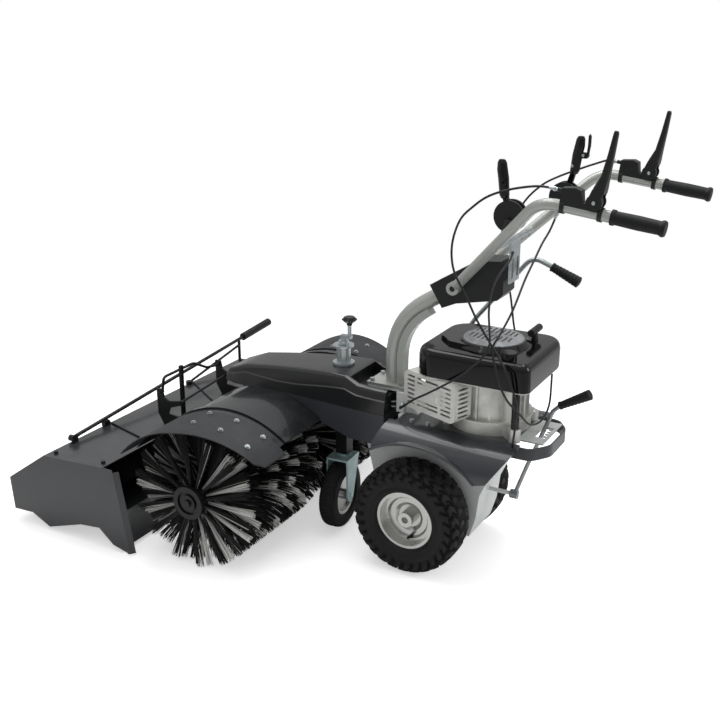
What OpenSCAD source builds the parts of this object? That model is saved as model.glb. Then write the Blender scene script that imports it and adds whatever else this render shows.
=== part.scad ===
// Walk-behind power sweeper: two-wheel drive unit, swivelling brush head with a
// support castor, dirt collector in front, and a steering handlebar behind.
// Sizes are millimetres. The travel direction is -X, the operator stands at +X.

/* [Drive wheels] */
// Outer diameter of a drive tyre
tyre_d = 330; // [310:1:340]
// Width of a drive tyre
tyre_w = 124; // [110:1:128]
// Diameter over the rim flanges
rim_d = 178; // [166:1:190]
// Width over the rim flanges
rim_w = 90; // [80:1:96]
// Distance between the two tyre centres
track = 304; // [300:1:316]
// Diameter of a wheel shaft
axle_d = 20; // [16:1:24]
// Diameter of a wheel hub
hub_d = 44; // [38:1:52]

/* [Frame] */
// Width over the frame's side plates
frame_w = 160; // [150:2:164]
// Thickness of the frame plates
plate_t = 4; // [3:0.5:6]
// Height of the engine deck
deck_z = 432; // [428:1:440]
// Height of the frame's nose, on which the brush head turns
nose_z = 330; // [320:1:332]
// Width of the hood
hood_w = 424; // [400:2:430]
// Thickness of the hood's sheet
hood_t = 3; // [2:0.5:4]
// Radius of the hood's shoulders
hood_r = 90; // [70:1:96]
// Diameter of the attachment holes in the side plates
side_hole_d = 10.5; // [8:0.5:12]
// Distance between two attachment holes
side_hole_gap = 40; // [30:1:50]

/* [Brush] */
// Outer diameter of the brush
brush_d = 417; // [400:1:420]
// Length of the brush, both halves
brush_w = 964; // [900:2:980]
// Distance of the brush axis ahead of the drive axle
brush_reach = 545; // [540:1:550]
// Diameter of the brush core
core_d = 96; // [80:1:110]
// Diameter of the brush shaft
brush_shaft_d = 30; // [24:1:36]
// Width of the gap between the brush halves
brush_gap = 124; // [116:1:140]
// Tufts round the brush
tufts_round = 14; // [12:1:16]
// Rows of tufts along each half
tuft_rows = 13; // [11:1:14]
// Clearance of the brush over the ground
brush_lift = 0.5; // [0.5:0.5:4]

/* [Brush head] */
// Distance of the swivel axis ahead of the drive axle
swivel_reach = 138; // [136:1:142]
// Diameter of the swivel collar
collar_d = 70; // [62:1:76]
// Diameter of the swivel drive shaft
swivel_shaft_d = 25; // [20:1:28]
// Thickness of the belt housing's sheet and of its cover
housing_t = 3; // [2:0.5:4]
// Height of the seam between the belt housing and its cover
seam_z = 428; // [424:1:430]
// Thickness of the brush guards
guard_t = 2.5; // [2:0.5:4]
// Gap between the guards and the brush's top
guard_lift = 12; // [8:1:20]
// Distance of the guards' outer edges from the middle
guard_reach = 430; // [400:1:450]
// Distance of the flaps' outer edges from the middle
flap_reach = 504; // [480:1:506]
// Thickness of the flaps
flap_t = 3; // [2:0.5:5]

/* [Support castor] */
// Diameter of the castor wheel
castor_d = 210; // [190:1:214]
// Width of the castor wheel
castor_w = 54; // [44:1:56]
// Distance of the castor leg ahead of the drive axle
castor_reach = 308; // [304:1:310]
// Distance of the castor axle behind its swivel axis
castor_trail = 30; // [20:1:36]
// Angle of the castor wheel from the travel direction
castor_turn = -86; // [-100:1:-60]
// Width of the square castor leg
leg_w = 38; // [32:1:42]
// Diameter of the height screw
screw_d = 16; // [12:1:18]

/* [Dirt collector] */
// Width of the collector
bin_w = 1020; // [1012:2:1060]
// Thickness of the collector's sheet
bin_t = 2.5; // [2:0.5:4]
// Diameter of the hinge rod
hinge_d = 12; // [10:1:14]
// Distance of the latch brackets from the middle
bracket_y = 155; // [140:1:180]
// Diameter of the collector lever's rod
lever_d = 12; // [10:1:14]
// Length of the collector lever's grip
lever_grip_l = 175; // [120:5:190]
// Diameter of the collector lever's grip
lever_grip_d = 28; // [22:1:32]

/* [Engine] */
// Distance of the engine shaft behind the drive axle
crank_reach = 168; // [164:1:172]
// Diameter of the engine shaft
crank_d = 25; // [22:1:28]
// Height of the engine shroud's lower edge
shroud_z = 592; // [588:1:600]
// Height of the engine shroud
shroud_h = 76; // [70:1:84]
// Wall of the engine shroud
shroud_t = 4; // [3:0.5:5]
// Diameter of the starter's grille
grille_d = 150; // [130:1:160]

/* [Column and handlebar] */
// Diameter of the steering column
column_d = 45; // [40:1:50]
// Diameter of the handlebar tubes
arm_d = 28; // [25:1:30]
// Diameter of the handlebar's pivot
pivot_d = 16; // [12:1:20]
// Height of the handlebar's pivot
pivot_z = 822; // [818:1:826]
// Diameter of the hand grips
grip_d = 34; // [32:1:38]
// Length of the hand grips
grip_l = 124; // [110:1:130]
// Length of a clutch lever
clutch_l = 162; // [140:1:170]
// Diameter of the control cables
cable_d = 5; // [4:0.5:6]

/* [Fits] */
// Radial clearance of a shaft in its bearing
run = 0.06; // [0.03:0.01:0.1]
// Gap between pieces that move past each other
gap = 0.5; // [0.3:0.1:0.8]
// Gap between pieces that are seated on each other
seat = 0.15; // [0.1:0.05:0.3]

/* [Hidden] */
$fn = 64;

// Which side a piece is on: the operator's left is -Y
left = -1;
right = 1;

// Heights and places that follow from the driving sizes
axle_z = tyre_d / 2;
wheel_y = track / 2;
plate_y = frame_w / 2;
brush_x = -brush_reach;
brush_z = brush_d / 2 + brush_lift;
swivel_x = -swivel_reach;
castor_x = -castor_reach;
crank_x = crank_reach;
hood_top = deck_z + hood_t;

// Side outline of the frame: the low nose carries the brush head
nose_x = -185;
step_x = -82;
frame_rear = [[150, 100], [168, 161], [177, 235], [218, 327], [232, deck_z - 1]];
frame_front = [[nose_x, nose_z], [-150, 190], [-135, 115]];

// Middle of the attachment holes: x and z
side_holes = [150, 310];

// Column bracket, flange and swivel shaft
flange_t = 8;
bracket_t = 6;
flange_z = 500;
bracket_z = flange_z - flange_t;
bracket_wall_x = -78;

// Belt planes: engine to swivel shaft, engine to gearbox, swivel shaft to brush
belt_w = 10;
belt_t = 6;
belt_room = 0.4;
upper_belt_z = 385;
lower_belt_z = 355;
head_belt_z = 447;
crank_pulley_r = 40;
gearbox_pulley_r = 60;
swivel_pulley_r = 45;
head_pulley_r = 50;

// Outline of the brush head's housing: [x, half width], then heights along X
housing_plan = [[-708, 50], [-700, 64], [-660, 78], [-400, 92], [-170, 106], [-116, 106]];
pan_floor = [[-708, brush_z + brush_d / 2 + 4], [-480, brush_z + brush_d / 2 + 3], [-400, 382],
    [-230, nose_z + 4], [-116, nose_z + 4]];
cover_top = [[-708, 446], [-690, 462], [-621, 488], [-500, 505], [-424, 513], [-309, 522],
    [-252, 522], [-212, 502], [-116, 498]];
pocket_x = -242;
pocket_half = 76;
pocket_z = bracket_z - bracket_t - 6;

// Brush guard: an arch that is not concentric with the brush
guard_x = brush_x + 25;
guard_z = brush_z - 89;
guard_r = brush_d / 2 + brush_z - guard_z + guard_lift;
guard_rear = 53;
guard_front = 141;
guard_inner = 70;
guard_rib_y = flap_reach - 217;
flap_gap = 0.4;

// Dirt collector: sheet path from the top's rear edge round to the lip
bin_y = bin_w / 2;
bin_path = [[-827, 268], [-1064, 254], [-1220, 147], [-1212, 41], [-1136, 45], [-1068, 12],
    [-935, 55], [-861, 63], [-778, 10]];
bin_side_rear = [[-747, 5], [-791, 267]];
hinge_x = -792;
hinge_z = 286;

// Collector lever: pivot at its near end, rest post at the far edge
lever_x = -1058;
lever_pivot = [lever_x, -391, 268];
lever_slope = 0.075;
lever_grip_y = 525;
post_y = 500;

// Latch handle's hinge on the brackets
latch_x = -894;
latch_z = 371;

// Handlebar, left side: pivot, bend and end of the grip
pivot_x = 70;
joint_half = 42;
arm_y = joint_half + 1 + arm_d / 2;
bar_bend = [360, -240, 1114];
bar_end = [655, -240, 1078];
bar_aim = unit(bar_end - bar_bend);
bar_yaw = atan2(bar_aim[1], bar_aim[0]);
bar_tilt = -asin(bar_aim[2]);
clutch_pivot = [-166, 26];

// Middle line of the left bar, from its pivot round the bend to its end
arm_start = [pivot_x, -arm_y, pivot_z];
arm_path = eased([arm_start, bar_bend, bar_end - 8 * bar_aim], 48, 8);

// Control shields: [x, y, z] of the lever's axis, and the bar's middle nearest to it
left_control = [249, -130, 1049];
left_bar_spot = [244, -167, 997];
right_control = [295, 146, 1057];
right_bar_spot = [299, 201, 1053];
trigger = [52, 112];

// Engine: oil filler, starter handle and fuel cap in plan, feet and muffler
filler = [280, -104];
filler_h = 38;
starter = [262, 66];
fuel = [256, -110];
foot_angles = [35, 145, 215, 325];
foot_r = 122;
foot_h = 26;
muffler_h = 110;
muffler_back = 62;

// Gear lever's and angle lever's pivots
gear_pivot = [240, 0, 225];
gear_path = [[252, 0, 225], [284, 0, 320], [349, 0, 499], [367, 0, 518]];
gear_grip_end = [447, 0, 565];
angle_pivot = [-60, 112, 470];
angle_path = [[-60, 120, 470], [36, 166, 664], [208, 166, 877], [265, 166, 855]];
angle_grip_end = [344, 166, 820];

// Steering column's path
column_path = [[-140, 0, flange_z], [-140, 0, 690], [10, 0, 784]];

// How far the hood's shoulder has fallen at a distance y from the middle
function hood_drop(y) = hood_r - sqrt(pow(hood_r, 2) - pow(max(0, y - hood_w / 2 + hood_r), 2));

// Control cable routes, from the handlebar to the machine
left_clutch_route = [[402.9, -240, 1145], [378, -240, 1148], [341, -235, 1146], [278, -222, 1131],
    [222, -212, 1109], [180, -204, 1079], [142, -198, 1039], [120, -192, 973], [127, -192, 908],
    [161, -190, 847], [193, -187, 785], [235, -183, 721], [261, -180, 681], [285, -174, 626],
    [300, -154, 560], [294, -141, 490],
    [288, -138, hood_top - hood_drop(138 - cable_d / 2) + 0.3]];
right_clutch_route = [[402.9, 240, 1145], [378, 240, 1147], [348, 237, 1137], [310, 232, 1122],
    [252, 222, 1097], [206, 212, 1070], [162, 204, 1023], [132, 198, 958], [119, 193, 890],
    [119, 195, 840], [124, 195, 792], [135, 195, 755], [144, 194, 708], [153, 191, 661],
    [172, 183, 600], [196, 168, 530], [214, 150, 470],
    [218, 147, hood_top - hood_drop(147 - cable_d / 2) + 0.3]];
throttle_route = [[280, 145, 1018], [268, 122, 968], [260, 86, 936], [257, 36, 898],
    [259, -30, 862], [260, -110, 801], [252, -168, 753], [243, -196, 722], [248, -198, 688],
    [267, -194, 622], [281, -182, 583], [299, -170, 556], [312, -148, 530], [316, -104, 494],
    [317, -50, 472], [318, 0, 466], [321, 28, 478], [324, 42, 506], [324, 46, 545],
    [324, 46, shroud_z - 4.3]];
brush_route = [[221.5, -26, 932], [222, -50, 914], [212, -78, 890], [204, -104, 864],
    [206, -130, 838], [214, -160, 803], [228, -186, 765], [238, -206, 735], [230, -216, 706],
    [198, -219, 668], [146, -214, 622], [63, -190, 562], [10, -162, 525], [-28, -142, 494],
    [-58, -116, 468], [-72, -86, 461], [-75, -63.3, 460]];

// Row frame: the origin is the middle of the footprint, on the ground
front_x = bin_path[2][0];
rear_x = bar_end[0] + grip_d / 2 * norm([bar_aim[1], bar_aim[2]]);
lever_aim = unit([0, 1, lever_slope]);
lever_end = lever_at(lever_grip_y) + lever_aim * lever_grip_l;
far_y = lever_end[1] + lever_grip_d / 2 * lever_aim[2];
row_x = -(front_x + rear_x) / 2;
row_y = -(far_y - bin_y) / 2;

// Unit vector, and a point on the collector lever's line at a given y
function unit(v) = v / norm(v);
function lever_at(y) = lever_pivot + [0, y - lever_pivot[1], (y - lever_pivot[1]) * lever_slope];

// Points on an arc round a centre
function arc(c, r, a, b, n) =
    [for (i = [0 : n]) let (t = a + (b - a) * i / n) [c[0] + r * cos(t), c[1] + r * sin(t)]];

// A path with its corners eased by curves that start "cut" before each corner
function eased(p, cut, n) = concat([p[0]],
    [for (i = [1 : len(p) - 2])
        let (a = p[i] + cut * unit(p[i - 1] - p[i]), b = p[i] + cut * unit(p[i + 1] - p[i]))
        for (k = [0 : n]) let (t = k / n) a * (1 - t) * (1 - t) + 2 * p[i] * t * (1 - t) + b * t * t],
    [p[len(p) - 1]]);

// A flat path moved to its left by t, with mitred corners
function beside(p, t) = [for (i = [0 : len(p) - 1])
    let (a = unit(p[max(i, 1)] - p[max(i, 1) - 1]),
        b = unit(p[min(i + 1, len(p) - 1)] - p[min(i, len(p) - 2)]),
        m = unit([-a[1] - b[1], a[0] + b[0]]))
    p[i] + m * t / (m * [-a[1], a[0]])];

function reversed(p) = [for (i = [len(p) - 1 : -1 : 0]) p[i]];

// Outline of a sheet of thickness t whose right face follows the path
function strip(p, t) = concat(p, reversed(beside(p, t)));

// Outline of a belt round two pulleys on the X axis, at x = a and x = b with a < b
function belt_loop(a, ra, b, rb) =
    let (lean = acos((rb - ra) / (b - a)))
    concat(arc([b, 0], rb, -180 + lean, 180 - lean, 16), arc([a, 0], ra, 180 - lean, 180 + lean, 16));

// Closed cross section of a tyre: a rounded rectangle swept to a superellipse
function tyre_section(middle, half_h, half_w) = [for (i = [0 : 27]) let (t = 360 * i / 28)
    [middle + half_h * sign(cos(t)) * pow(abs(cos(t)), 0.65),
        half_w * sign(sin(t)) * pow(abs(sin(t)), 0.65)]];

// Direction of a path at a point
function heading(p, i) = unit(p[min(i + 1, len(p) - 1)] - p[max(i - 1, 0)]);

// Round tube swept along a path, as one closed solid
module swept(p, d, sides, up) {
    n = len(p);
    points = [for (i = [0 : n - 1])
        let (h = heading(p, i), u = unit(cross(up, h)), v = cross(h, u))
        for (k = [0 : sides - 1]) p[i] + d / 2 * (cos(360 * k / sides) * u + sin(360 * k / sides) * v)];
    walls = [for (i = [0 : n - 2], k = [0 : sides - 1])
        let (a = i * sides + k, b = i * sides + (k + 1) % sides)
        each [[a, a + sides, b], [b, a + sides, b + sides]]];
    ends = [[for (k = [0 : sides - 1]) k], [for (k = [sides - 1 : -1 : 0]) (n - 1) * sides + k]];
    polyhedron(points, concat(walls, ends));
}

// Closed solid through rings of points that match one to one, first ring to last
module lofted(rings) {
    n = len(rings[0]);
    last = len(rings) - 1;
    walls = [for (i = [0 : last - 1], k = [0 : n - 1])
        let (a = i * n + k, b = i * n + (k + 1) % n)
        each [[a, a + n, b], [b, a + n, b + n]]];
    ends = [[for (k = [0 : n - 1]) k], [for (k = [n - 1 : -1 : 0]) last * n + k]];
    polyhedron([for (r = rings) each r], concat(walls, ends));
}

// Ring of a rounded bar: x from a to b, y up to half, corners cut by c, at height z
function bar_ring(a, b, half, c, z) = [[a + c, -half, z], [b - c, -half, z], [b, -half + c, z], [b,
    half - c, z],
    [b - c, half, z], [a + c, half, z], [a, half - c, z], [a, -half + c, z]];

// Oval ring round x, with half axes a and b, at height z
function oval_ring(x, a, b, z) = [for (k = [0 : 11]) [x + a * cos(30 * k), b * sin(30 * k), z]];

// Straight rod between two points
module rod(a, b, d) {
    v = b - a;
    translate(a) rotate([0, acos(v[2] / norm(v)), atan2(v[1], v[0])]) cylinder(d = d, h = norm(v));
}

// Tapered rod between two points
module taper(a, b, d1, d2) {
    v = b - a;
    translate(a) rotate([0, acos(v[2] / norm(v)), atan2(v[1], v[0])]) cylinder(d1 = d1, d2 = d2,
        h = norm(v));
}

// Plate drawn in the XZ plane, from y = a to y = b
module upright(a, b) {
    translate([0, b, 0]) rotate([90, 0, 0]) linear_extrude(b - a) children();
}

// Cylinder along Y, and along X
module drum(d, a, b) {
    translate([0, a, 0]) rotate([-90, 0, 0]) cylinder(d = d, h = b - a);
}
module dowel(d, a, b) {
    translate([a, 0, 0]) rotate([0, 90, 0]) cylinder(d = d, h = b - a);
}

// Box with its corners at two points
module box(a, b) {
    translate(a) cube(b - a);
}

// Everything is placed in the row frame here
module row() {
    translate([row_x, row_y, 0]) children();
}

// Wheel frame: +Z points outwards along the axle
module at_wheel(side) {
    translate([0, side * wheel_y, axle_z]) rotate([-90 * side, 0, 0]) children();
}

// Hand grip frame: origin at the grip's end, +X along the bar towards the operator
module at_bar(side) {
    mirror([0, side == right ? 1 : 0, 0])
        translate(bar_end) rotate([0, bar_tilt, bar_yaw]) children();
}

// Drive unit

module chassis_frame() {
    swivel_bore = swivel_shaft_d + 2 * run;
    color("#8f9396") row() difference() {
        union() {
            for (s = [left, right])
                upright(s == left ? -plate_y : plate_y - plate_t,
                    s == left ? -plate_y + plate_t : plate_y)
                    polygon(concat(frame_front, frame_rear, [[step_x, deck_z], [step_x, nose_z]]));
            box([step_x, -plate_y, deck_z - plate_t], [352, plate_y, deck_z]);
            box([nose_x, -plate_y, nose_z - plate_t], [step_x, plate_y, nose_z]);
            upright(-plate_y, plate_y) polygon(strip(frame_front, plate_t));
            upright(-plate_y, plate_y) polygon(strip(frame_rear, plate_t));
            // Collar on which the brush head turns
            translate([swivel_x, 0, nose_z - 30]) cylinder(d = collar_d, h = 68);
            translate([swivel_x, 0, nose_z]) cylinder(d = collar_d + 26, h = 4 - gap);
            // Bracket that carries the steering column over the brush head's rear end
            box([bracket_wall_x, -60, deck_z], [bracket_wall_x + bracket_t, 60, bracket_z]);
            box([-200, -45, bracket_z - bracket_t], [bracket_wall_x + bracket_t, 45, bracket_z]);
            for (s = [left, right]) translate([0, s * 60, 0])
                box([bracket_wall_x - 19, -3, deck_z], [bracket_wall_x + bracket_t, 3, bracket_z]);
            for (s = [left, right]) translate([0, s * 54, 0])
                upright(-3, 3) polygon([[bracket_wall_x, deck_z], [bracket_wall_x + 46, deck_z],
                    [bracket_wall_x + bracket_t, bracket_z - 12], [bracket_wall_x, bracket_z - 12]]);
            // Ear and pin of the angle lever
            box([angle_pivot[0] - 16, angle_pivot[1] - 8, deck_z],
                [angle_pivot[0] + 16, angle_pivot[1] - 2, angle_pivot[2] + 14]);
            box([angle_pivot[0] - 16, plate_y, deck_z - plate_t],
                [angle_pivot[0] + 16, angle_pivot[1] - 2, deck_z]);
            translate([angle_pivot[0], 0, angle_pivot[2]]) drum(12, angle_pivot[1] - 4,
                angle_pivot[1] + 16);
            // Pin of the gear lever
            translate([0, gear_pivot[1], gear_pivot[2]]) dowel(12, 172, gear_pivot[0] + 24);
        }
        translate([swivel_x, 0, nose_z - 40]) cylinder(d = swivel_bore, h = bracket_z - nose_z + 40);
        translate([crank_x, 0, deck_z - 10]) cylinder(d = crank_d + 30, h = 20);
        for (s = [left, right]) translate([0, s * (plate_y - plate_t / 2), 0]) {
            translate([0, 0, axle_z]) drum(hub_d, -plate_t, plate_t);
            // Two holes for an attachment's bracket
            for (z = [-1, 1]) translate([side_holes[0], 0, side_holes[1] + z * side_hole_gap / 2])
                drum(side_hole_d, -plate_t, plate_t);
        }
        // Gate of the gear lever, with one notch for each gear
        box([314, -40, deck_z - 20], [334, 40, deck_z + 1]);
        for (i = [-2 : 2]) box([333, i * 17 - 6, deck_z - 20], [344, i * 17 + 6, deck_z + 1]);
    }
}

module hood() {
    half = hood_w / 2;
    arch_r = tyre_d / 2 + 92;
    arch_c = [30, axle_z - 15];
    low = 325;
    outer = concat([[-half, low]], arc([-half + hood_r, hood_top - hood_r], hood_r, 180, 90, 8),
        arc([half - hood_r, hood_top - hood_r], hood_r, 90, 0, 8), [[half, low]]);
    r_in = hood_r - hood_t;
    inner = concat([[-half + hood_t, low - 1]],
        arc([-half + hood_r, hood_top - hood_r], r_in, 180, 90, 8),
        arc([half - hood_r, hood_top - hood_r], r_in, 90, 0, 8), [[half - hood_t, low - 1]]);
    front = -104;
    rear = 306;
    color("#3d4045") row() difference() {
        intersection() {
            translate([front, 0, 0]) rotate([90, 0, 90]) linear_extrude(rear - front) difference() {
                polygon(outer);
                polygon(inner);
            }
            upright(-half - 1, half + 1) polygon(concat([[-86, hood_top + 1], [-104, 385]],
                arc(arch_c, arch_r, 121, 45, 12), [[244, 340], [306, 430], [300, hood_top + 1]]));
        }
        box([280, -120, deck_z - 1], [310, 120, hood_top + 1]);
        box([-110, -125, deck_z - 1], [-66, 125, hood_top + 1]);
        translate([crank_x, 0, deck_z - 1]) cylinder(d = crank_d + 30, h = 10);
        box([angle_pivot[0] - 18, angle_pivot[1] - 12, deck_z - 1],
            [angle_pivot[0] + 18, angle_pivot[1] + 2, hood_top + 1]);
        box([bracket_wall_x - 20, -62, deck_z - 1], [bracket_wall_x + 50, 62, hood_top + 1]);
    }
}

module rear_bumper() {
    half = [[150, -plate_y], [212, -plate_y], [262, -114], [330, -114], [366, -62]];
    other = reversed([for (p = half) [p[0], -p[1]]]);
    path = eased(concat(half, other), 16, 4);
    color("#55585c") row() translate([0, 0, deck_z - 40])
        linear_extrude(34) polygon(strip(path, -5));
}

module gearbox() {
    half = plate_y - plate_t;
    top = axle_z + 95;
    color("#a9abad") row() difference() {
        union() {
            box([-62, -half, axle_z - 45], [72, half, axle_z + 70]);
            translate([0, 0, axle_z]) drum(124, -half + 6, half - 6);
            translate([0, 0, axle_z + 60]) cylinder(d = 70, h = top - axle_z - 60);
        }
        translate([0, 0, axle_z]) drum(axle_d + 2 * run, -half - 1, half + 1);
        translate([0, 0, axle_z + 75]) cylinder(d = 22 + 2 * run, h = 60);
    }
}

// Grooved pulley whose groove floor has radius r, at height z
module pulley(r, z) {
    lip = r + belt_t - 1;
    half = belt_w / 2 + 0.6;
    translate([0, 0, z]) rotate_extrude() polygon([[0, -half - 4], [lip, -half - 4], [lip, -half],
        [r, -half], [r, half], [lip, half], [lip, half + 4], [0, half + 4]]);
}

module gearbox_pulley() {
    color("#6d7073") row() {
        pulley(gearbox_pulley_r, lower_belt_z);
        translate([0, 0, axle_z + 76]) cylinder(d = 22, h = lower_belt_z - axle_z - 76);
    }
}

module crankshaft() {
    color("#7b7e82") row() translate([crank_x, 0, 0]) {
        pulley(crank_pulley_r, lower_belt_z);
        pulley(crank_pulley_r, upper_belt_z);
        translate([0, 0, lower_belt_z]) cylinder(d = crank_d, h = shroud_z + 30 - lower_belt_z);
        translate([0, 0, shroud_z + 30]) cylinder(d = grille_d, h = 14);
    }
}

module drive_belts() {
    color("#202124") row() {
        translate([0, 0, upper_belt_z - belt_w / 2]) linear_extrude(belt_w) difference() {
            polygon(belt_loop(swivel_x, swivel_pulley_r + belt_room + belt_t, crank_x,
                crank_pulley_r + belt_room + belt_t));
            polygon(belt_loop(swivel_x, swivel_pulley_r + belt_room, crank_x,
                crank_pulley_r + belt_room));
        }
        translate([0, 0, lower_belt_z - belt_w / 2]) linear_extrude(belt_w) difference() {
            polygon(belt_loop(0, gearbox_pulley_r + belt_room + belt_t, crank_x,
                crank_pulley_r + belt_room + belt_t));
            polygon(belt_loop(0, gearbox_pulley_r + belt_room, crank_x, crank_pulley_r + belt_room));
        }
    }
}

// Engine

module engine_block() {
    top = shroud_z;
    fin_step = 12;
    rib_turn = 20;
    color("#b4b6b6") row() difference() {
        union() {
            // Sump with its feet
            translate([crank_x, 0, hood_top]) cylinder(d = 226, h = 40);
            box([60, -58, hood_top], [crank_x, 58, hood_top + 40]);
            translate([crank_x, 0, hood_top + 40]) cylinder(d = 200, h = top - hood_top - 40);
            for (a = foot_angles) translate([crank_x + foot_r * cos(a), foot_r * sin(a), hood_top])
                cylinder(d = 32, h = foot_h);
            translate([crank_x, 0, hood_top + 34]) cylinder(d = 236, h = 6);
            for (i = [0 : 11]) translate([crank_x, 0, hood_top + 38]) rotate([0, 0, rib_turn * i - 110])
                box([90, -2.5, 0], [107, 2.5, top - hood_top - 40]);
            // Cylinder and its cooling fins, pointing forwards
            box([40, -60, hood_top + 50], [crank_x, 60, top - 8]);
            box([-12, -46, hood_top + 64], [41, 46, top - 20]);
            for (i = [0 : 4]) translate([fin_step * i - 6, 0, 0])
                box([0, -64, hood_top + 54], [4, 64, top - 10]);
            // Oil filler's boss, joined to the sump
            translate([filler[0], filler[1], hood_top]) cylinder(d = 34, h = filler_h);
            translate([crank_x, 0, hood_top]) rotate([0, 0, atan2(filler[1], filler[0] - crank_x)])
                box([0, -14, 0], [150, 14, 24]);
            // Exhaust port to the muffler, and the plate under the shroud
            at_muffler() box([0, muffler_back + seat, 42], [26, muffler_back + 40, 72]);
            translate([0, 0, top - 4]) linear_extrude(4) polygon(shroud_outline(2));
        }
        translate([crank_x, 0, hood_top - 1]) cylinder(d = crank_d + 2 * run, h = top - hood_top + 2);
    }
}

// Muffler frame: origin at the foot of the guard's face, +Y towards the engine
module at_muffler() {
    translate([42, -142, shroud_z - 5 - muffler_h]) rotate([0, 0, -20]) children();
}

// Outline of a rounded rectangle that stands on the X axis
function rounded(half, tall, r) = concat(arc([half - r, r], r, -90, 0, 6), arc([half - r, tall - r], r,
    0, 90, 6),
    arc([-half + r, tall - r], r, 90, 180, 6), arc([-half + r, r], r, 180, 270, 6));

module muffler_guard() {
    wide = 196;
    deep = 64;
    tall = muffler_h;
    wall = 3;
    color("#c6c5bf") row() at_muffler() difference() {
        union() {
            difference() {
                upright(0, deep) polygon(rounded(wide / 2, tall, 18));
                upright(wall, deep + 1) translate([0, wall])
                    polygon(rounded(wide / 2 - wall, tall - 2 * wall, 18 - wall));
            }
            translate([8, 0, tall / 2]) drum(44, -3, 6);
            box([-30, wall, 30], [60, muffler_back, tall - 24]);
        }
        // Cooling slots in the face and the rear end
        for (i = [0 : 6]) {
            box([-84, -1, 14 + i * 13], [-56, wall + 0.5, 20 + i * 13]);
            box([44, -1, 14 + i * 13], [82, wall + 0.5, 20 + i * 13]);
            box([wide / 2 - wall - 1, 14, 14 + i * 13], [wide / 2 + 1, 52, 20 + i * 13]);
        }
        for (i = [0, 1, 5, 6]) box([-46, -1, 14 + i * 13], [34, wall + 0.5, 20 + i * 13]);
    }
}

// Outline of the engine shroud, drawn in by t
function shroud_outline(t) = concat(arc([52, -94], 58 - t, 180, 270, 6), arc([302, -128], 24 - t, 270,
    360, 5),
    arc([266, 90], 60 - t, 0, 90, 6), arc([64, 78], 70 - t, 90, 180, 6));

// The shroud's roll: how far it is drawn in, and how far below the top
shroud_roll = [[0, shroud_h], [0, 22], [2, 13], [6, 6], [11, 2], [18, 0]];
function shroud_ring(t, z) = [for (p = shroud_outline(t)) [p[0], p[1], z]];

module engine_shroud() {
    top = shroud_z + shroud_h;
    color("#1c1d1f") row() {
        difference() {
            lofted([for (k = shroud_roll) shroud_ring(k[0], shroud_z + shroud_h - k[1])]);
            lofted([for (k = shroud_roll) shroud_ring(k[0] + shroud_t,
                shroud_z + shroud_h - shroud_t - k[1])]);
            translate([crank_x, 0, top - 10]) cylinder(d = grille_d + 4, h = 20);
            translate([starter[0], starter[1], top - 10]) cylinder(d = 6, h = 20);
        }
        // Oil filler tube down to the sump
        translate([filler[0], filler[1], hood_top + filler_h + seat])
            cylinder(d = 22, h = shroud_z - 4 - hood_top - filler_h - 2 * seat);
    }
}

module shroud_cap() {
    base = shroud_z + shroud_h;
    color("#9a9c9f") row() difference() {
        union() {
            translate([crank_x, 0, base]) cylinder(d1 = grille_d + 58, d2 = grille_d + 30, h = 14);
            translate([crank_x, 0, base + 14]) cylinder(d1 = grille_d + 6, d2 = grille_d - 16, h = 8);
            translate([0, 0, base]) linear_extrude(10)
                polygon([[24, -30], [70, -78], [crank_x, -96], [crank_x, 96], [70, 78], [24, 30]]);
        }
        translate([crank_x, 0, base - 1]) cylinder(d = grille_d - 12, h = 17);
        // Slots of the starter's grille
        for (i = [-4 : 4]) translate([crank_x + i * 14, 0, base + 10]) {
            reach = 0.78 * sqrt(pow(grille_d / 2, 2) - pow(i * 14, 2));
            box([-3, 8, 0], [3, reach, 20]);
            box([-3, -reach, 0], [3, -8, 20]);
        }
    }
}

module starter_handle() {
    base = shroud_z + shroud_h;
    color("#26272a") row() translate([starter[0], starter[1], 0]) {
        translate([0, 0, base - 66]) cylinder(d = 4, h = 90);
        translate([0, 0, base + gap]) cylinder(d1 = 20, d2 = 14, h = 22);
        translate([0, 0, base + 30]) drum(20, -34, 34);
    }
}

module fuel_cap() {
    base = shroud_z + shroud_h;
    color("#17181a") row() translate([fuel[0], fuel[1], base + seat]) difference() {
        cylinder(d = 42, h = 18);
        for (i = [0 : 11]) rotate([0, 0, 30 * i]) translate([22, 0, 4]) cylinder(d = 5, h = 20);
    }
}

// Steering column and handlebar

module column_tube() {
    path = eased(column_path, 120, 8);
    flat = [for (p = path) [p[0], p[2]]];
    web = [for (i = [0 : 9]) flat[i]];
    color("#a5a7a5") row() {
        box([-205, -45, bracket_z], [bracket_wall_x + bracket_t, 45, flange_z]);
        swept(path, column_d, 24, [0, 1, 0]);
        // Gusset along the column's rear side
        upright(-16, 16) polygon(concat(beside(web, -column_d / 2 + 4), reversed(beside(web,
            -column_d / 2 - 18))));
    }
}

module joint_cover() {
    end = column_path[2];
    lean = unit(column_path[2] - column_path[1]);
    across = [-lean[2], lean[0]];
    foot = [end[0], end[2]];
    color("#222326") row() {
        upright(-joint_half, joint_half) polygon([foot + 38 * across, [128, 900], [196, 906], [204, 880],
            [204, 816], [188, 798], [70, 774], foot - 34 * across]);
        for (s = [left, right]) translate([pivot_x, 0, pivot_z])
            drum(pivot_d, s == left ? -arm_y - arm_d / 2 : 0, s == left ? 0 : arm_y + arm_d / 2);
    }
}

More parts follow.
